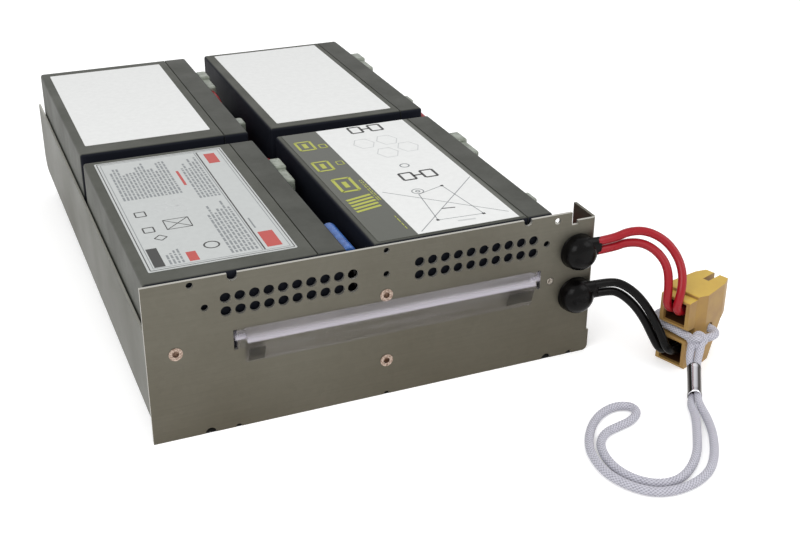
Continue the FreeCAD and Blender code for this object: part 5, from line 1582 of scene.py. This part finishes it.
    def braid(self, name: str, line: np.ndarray) -> bpy.types.Object:
        """Tube whose radius follows the braid's height and narrows by a fifth inside the ferrule.

        Args:
            name: The piece's name.
            line: Points of the centre line in metres.

        Returns:
            The braided piece.
        """
        along = np.concatenate(([0.0], np.cumsum(np.linalg.norm(np.diff(line, axis=0), axis=1)))) / MM
        angle = np.linspace(0.0, 2.0 * np.pi, 48, endpoint=False)
        height = self.braid_height(along[:, None], angle[None, :])
        girth = 1.0 - 0.2 * self.nearness(line)[:, None]
        radius = girth * (self.diameter / 2 - self.braid_depth * (1.0 - height)) * MM
        made = tube(name, line, radius)
        self.store_crowns(made, height.ravel())
        return made

    def store_crowns(self, piece: bpy.types.Object, height: np.ndarray) -> None:
        """Stores the braid's height on the points, for the finish to read.

        Args:
            piece: A braided piece.
            height: Heights of its first points; the rest get a half.
        """
        crown = piece.data.attributes.new("crown", "FLOAT", "POINT")
        full = np.full(len(piece.data.vertices), 0.5, np.float32)
        full[:len(height)] = height
        crown.data.foreach_set("value", full)

    def knot(self) -> bpy.types.Object:
        """Overhand knot: a tube on the trefoil (sin t + 2 sin 2t, -1.5 sin 3t, cos t - 2 cos 2t), scaled.

        Returns:
            The knot's mesh, closed on itself.
        """
        t = np.linspace(0.0, 2.0 * np.pi, 260, endpoint=False)
        trefoil = np.stack((np.sin(t) + 2.0 * np.sin(2.0 * t), -1.5 * np.sin(3.0 * t),
                            np.cos(t) - 2.0 * np.cos(2.0 * t)), -1)
        line = np.array(self.KNOT) + trefoil * self.knot_scale * MM
        tangent = np.roll(line, -1, 0) - np.roll(line, 1, 0)
        tangent /= np.linalg.norm(tangent, axis=1, keepdims=True)
        outward = line - np.array(self.KNOT)
        side = np.cross(outward, tangent)
        side /= np.linalg.norm(side, axis=1, keepdims=True)
        over = np.cross(tangent, side)
        along = np.arange(len(line)) * np.linalg.norm(line[1] - line[0]) / MM
        sides = 40
        angle = np.linspace(0.0, 2.0 * np.pi, sides, endpoint=False)
        height = self.braid_height(along[:, None], angle[None, :])
        radius = (self.diameter * self.knot_share - self.braid_depth * (1.0 - height)) * MM
        ring = (np.cos(angle)[None, :, None] * side[:, None, :]
                + np.sin(angle)[None, :, None] * over[:, None, :])
        points = (line[:, None, :] + radius[:, :, None] * ring).reshape(-1, 3)
        faces = grid_faces(len(line), sides, True)
        first = np.arange(sides)
        last = (len(line) - 1) * sides + first
        seam = np.stack((last, np.roll(last, -1), np.roll(first, -1), first), -1)
        made = add_mesh("cord_overhand_knot", points, np.concatenate((faces, seam))[:, ::-1])
        merge_and_turn(made)
        self.store_crowns(made, height.ravel())
        return made


@dataclass
class Strap:
    """Clear film strap across the panel, with a welded patch near each end of its lower flat."""

    nodes: dict[str, bpy.types.Object]
    ridge: tuple[float, float] = (-5.6, 47.0)
    foot: tuple[float, float] = (-1.0, 34.0)
    patches: tuple[tuple[float, float, float, float], ...] = (
        (46.0, 35.0, 53.6, 42.6), (176.7, 36.6, 190.4, 44.0))
    patch_gap: float = 0.02
    patch_lift: Point = (0.0, -0.12, -0.04)

    def build(self) -> None:
        """Dresses the film and adds the patches."""
        dress_node(self.nodes, "pull_strap", Finishes.film)
        dress(self.welds(), Finishes.weld)

    def welds(self) -> bpy.types.Object:
        """Thin plates on the lower flat: at height z the flat lies at y = foot + (z - foot) * slope.

        Returns:
            Both patches as one piece.
        """
        x0, z0, x1, z1 = np.array(self.patches).T
        x = np.stack((x0, x1, x1, x0), -1)
        z = np.stack((z0, z0, z1, z1), -1)
        slope = (self.ridge[0] - self.foot[0]) / (self.ridge[1] - self.foot[1])
        y = self.foot[0] + (z - self.foot[1]) * slope - self.patch_gap
        points, faces = slabs(np.stack((x, y, z), -1), self.patch_lift)
        return add_mesh("pull_strap_welds", place(points), faces, smooth=False)


@dataclass
class Studio:
    """Pale floor, soft lamps, an even sky and the camera at the photograph's angle."""

    lens: float = 55.19
    shift: tuple[float, float] = (0.0075, -0.0431)
    eye: Point = (-76.489, -469.37, 326.073)
    azimuth: float = -22.487
    elevation: float = 25.27
    roll: float = 0.152
    floor_glow: float = 0.34
    floor_reach: float = 3000.0
    floor_drop: float = 0.05
    # Painted shadow on the floor: middle and half sizes of the dark strip behind the panel, in metres
    painted_shadow_middle: tuple[float, float] = (-0.0014, -0.1543)
    painted_shadow_half: tuple[float, float] = (0.109, 0.0040)

    def build(self) -> None:
        """Sets up everything around the object."""
        view = bpy.context.scene.view_settings
        view.view_transform = "Standard"
        self.camera()
        self.floor()
        self.sky()
        self.lamp("window", (-620.0, -520.0, 820.0), 700.0, 6.0)
        self.lamp("fill", (760.0, -420.0, 640.0), 600.0, 2.2)

    def camera(self) -> None:
        """Camera fitted to the panel, the tray and the batteries of the photograph."""
        a, e, r = (math.radians(v) for v in (self.azimuth, self.elevation, self.roll))
        back = np.array((math.sin(a) * math.cos(e), -math.cos(a) * math.cos(e), math.sin(e)))
        right = np.array((math.cos(a), math.sin(a), 0.0))
        up = np.cross(back, right)
        right, up = math.cos(r) * right + math.sin(r) * up, math.cos(r) * up - math.sin(r) * right
        pose = np.eye(4)
        pose[:3, 0], pose[:3, 1], pose[:3, 2], pose[:3, 3] = right, up, back, place(self.eye)
        data = bpy.data.cameras.new("camera")
        data.sensor_width = 36.0
        data.lens = self.lens
        data.shift_x, data.shift_y = self.shift
        data.clip_start, data.clip_end = 0.01, 20.0
        made = bpy.data.objects.new("camera", data)
        made.matrix_world = Matrix(pose.tolist())
        bpy.context.scene.collection.objects.link(made)
        bpy.context.scene.camera = made

    def seen(self, tree: bpy.types.NodeTree) -> bpy.types.NodeSocket:
        """One for rays of the camera, and of mirrors and clear things, and zero for the light on the object.

        Args:
            tree: The node tree to add the nodes to.

        Returns:
            The sum of the three kinds of ray, at most one.
        """
        rays = node(tree, "ShaderNodeLightPath")
        mirrored = node(tree, "ShaderNodeMath", {
            0: rays.outputs["Is Camera Ray"], 1: rays.outputs["Is Glossy Ray"]}, operation="ADD")
        return node(tree, "ShaderNodeMath", {0: mirrored.outputs[0], 1: rays.outputs["Is Transmission Ray"]},
                    operation="ADD", use_clamp=True).outputs[0]

    def floor(self) -> None:
        """White floor, 6 m wide and just under the panel's bottom edge, that keeps the object's shadow.

        Its glow lifts the paper to white around the object. A strip 8 mm deep behind the panel is a painted
        shadow,
        as under a closed tray: it is coloured dark, has no glow, and shows through the panel's bottom
        notches.
        """
        reach, level = self.floor_reach, -self.floor_drop
        points = place(((-reach, -reach, level), (reach, -reach, level), (reach, reach, level),
                        (-reach, reach, level)))
        made = add_mesh("floor", points, np.array(((0, 1, 2, 3),)), smooth=False)
        material = bpy.data.materials.new("white_floor")
        material.use_nodes = True
        tree = material.node_tree
        tree.nodes.clear()
        where = node(tree, "ShaderNodeTexCoord").outputs["Object"]
        across = node(tree, "ShaderNodeSeparateXYZ", {0: where})
        # Painted shadow: a dark strip on the floor behind the panel, without glow
        under_x = node(tree, "ShaderNodeMath", {
            0: across.outputs["X"], 1: self.painted_shadow_middle[0], 2: self.painted_shadow_half[0]}, operation="COMPARE")
        under_y = node(tree, "ShaderNodeMath", {
            0: across.outputs["Y"], 1: self.painted_shadow_middle[1], 2: self.painted_shadow_half[1]}, operation="COMPARE")
        under = node(tree, "ShaderNodeMath", {
            0: under_x.outputs[0], 1: under_y.outputs[0]}, operation="MULTIPLY")
        lit = node(tree, "ShaderNodeMapRange", {
            "Value": under.outputs[0], "To Min": self.floor_glow, "To Max": 0.0})
        strength = node(tree, "ShaderNodeMath", {0: lit.outputs[0], 1: self.seen(tree)}, operation="MULTIPLY")
        cloud = node(tree, "ShaderNodeTexNoise", {"Vector": where, "Scale": per(90.0), "Detail": 3.0})
        tone = node(tree, "ShaderNodeValToRGB", {"Fac": cloud.outputs["Fac"]},
                    stops=((0.2, "#f2f2f2"), (0.8, "#f8f8f8")))
        shaded = node(tree, "ShaderNodeMix", {"Factor": under.outputs[0], "A": tone.outputs[0],
                                              "B": linear("#1c1b1a")}, data_type="RGBA")
        paper = node(tree, "ShaderNodeBsdfPrincipled", {
            "Base Color": shaded.outputs["Result"], "Roughness": 0.9, "Emission Color": (1.0, 1.0, 1.0, 1.0),
            "Emission Strength": strength.outputs[0]})
        node(tree, "ShaderNodeOutputMaterial", {"Surface": paper.outputs[0]})
        made.data.materials.append(material)

    def sky(self) -> None:
        """Even sky, darker near the horizon, that the camera and mirrors see as white."""
        world = bpy.data.worlds.new("sky")
        bpy.context.scene.world = world
        world.use_nodes = True
        tree = world.node_tree
        tree.nodes.clear()
        toward = node(tree, "ShaderNodeTexCoord").outputs["Generated"]
        height = node(tree, "ShaderNodeSeparateXYZ", {0: toward})
        ramp = node(tree, "ShaderNodeMapRange", {
            "Value": height.outputs["Z"], "From Min": -0.1, "From Max": 0.7, "To Min": 0.42,
            "To Max": 0.84})
        level = node(tree, "ShaderNodeMix", {"Factor": self.seen(tree), "A": ramp.outputs[0], "B": 1.0},
                     data_type="FLOAT")
        glow = node(tree, "ShaderNodeBackground", {"Color": (1.0, 1.0, 1.0, 1.0),
                                                   "Strength": level.outputs["Result"]})
        node(tree, "ShaderNodeOutputWorld", {"Surface": glow.outputs[0]})

    def lamp(self, name: str, position: Point, size: float, power: float) -> None:
        """Square area lamp that points at the middle of the cartridge.

        Args:
            name: The lamp's name.
            position: Its place in millimetres from the panel's corner.
            size: Its width in millimetres.
            power: Its power in watts.
        """
        data = bpy.data.lights.new(name, "AREA")
        data.size = size * MM
        data.energy = power
        made = bpy.data.objects.new(name, data)
        made.location = place(position)
        aim = Vector((0.0, 0.0, 0.04)) - made.location
        made.rotation_euler = aim.to_track_quat("-Z", "Y").to_euler()
        bpy.context.scene.collection.objects.link(made)


def corners(box: tuple[Any, Any]) -> list[list[float]]:
    """A box's lowest and highest corner as plain lists."""
    return [[float(v) for v in corner] for corner in box]


def main() -> None:
    """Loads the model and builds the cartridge's looks in order."""
    logging.basicConfig(level=logging.INFO, format="%(name)s: %(message)s")
    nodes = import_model()["nodes"]
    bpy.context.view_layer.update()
    Studio().build()
    Tray(nodes).build()
    for position, corner, stock in (
            ("front_left", (2.0, 3.0, 15.0), Stock.SILVER),
            ("front_right", (109.0, 3.0, 15.0), Stock.SMOKE),
            ("rear_left", (2.0, 162.5, 16.5), Stock.WHITE),
            ("rear_right", (109.0, 162.5, 16.5), Stock.WHITE)):
        Battery(nodes, position, corner, stock).build()
    Wiring(nodes).build()
    PullCord(nodes).build()
    Strap(nodes).build()
    bpy.context.view_layer.update()
    LOG.info("sizes written")


if __name__ == "__main__":
    main()
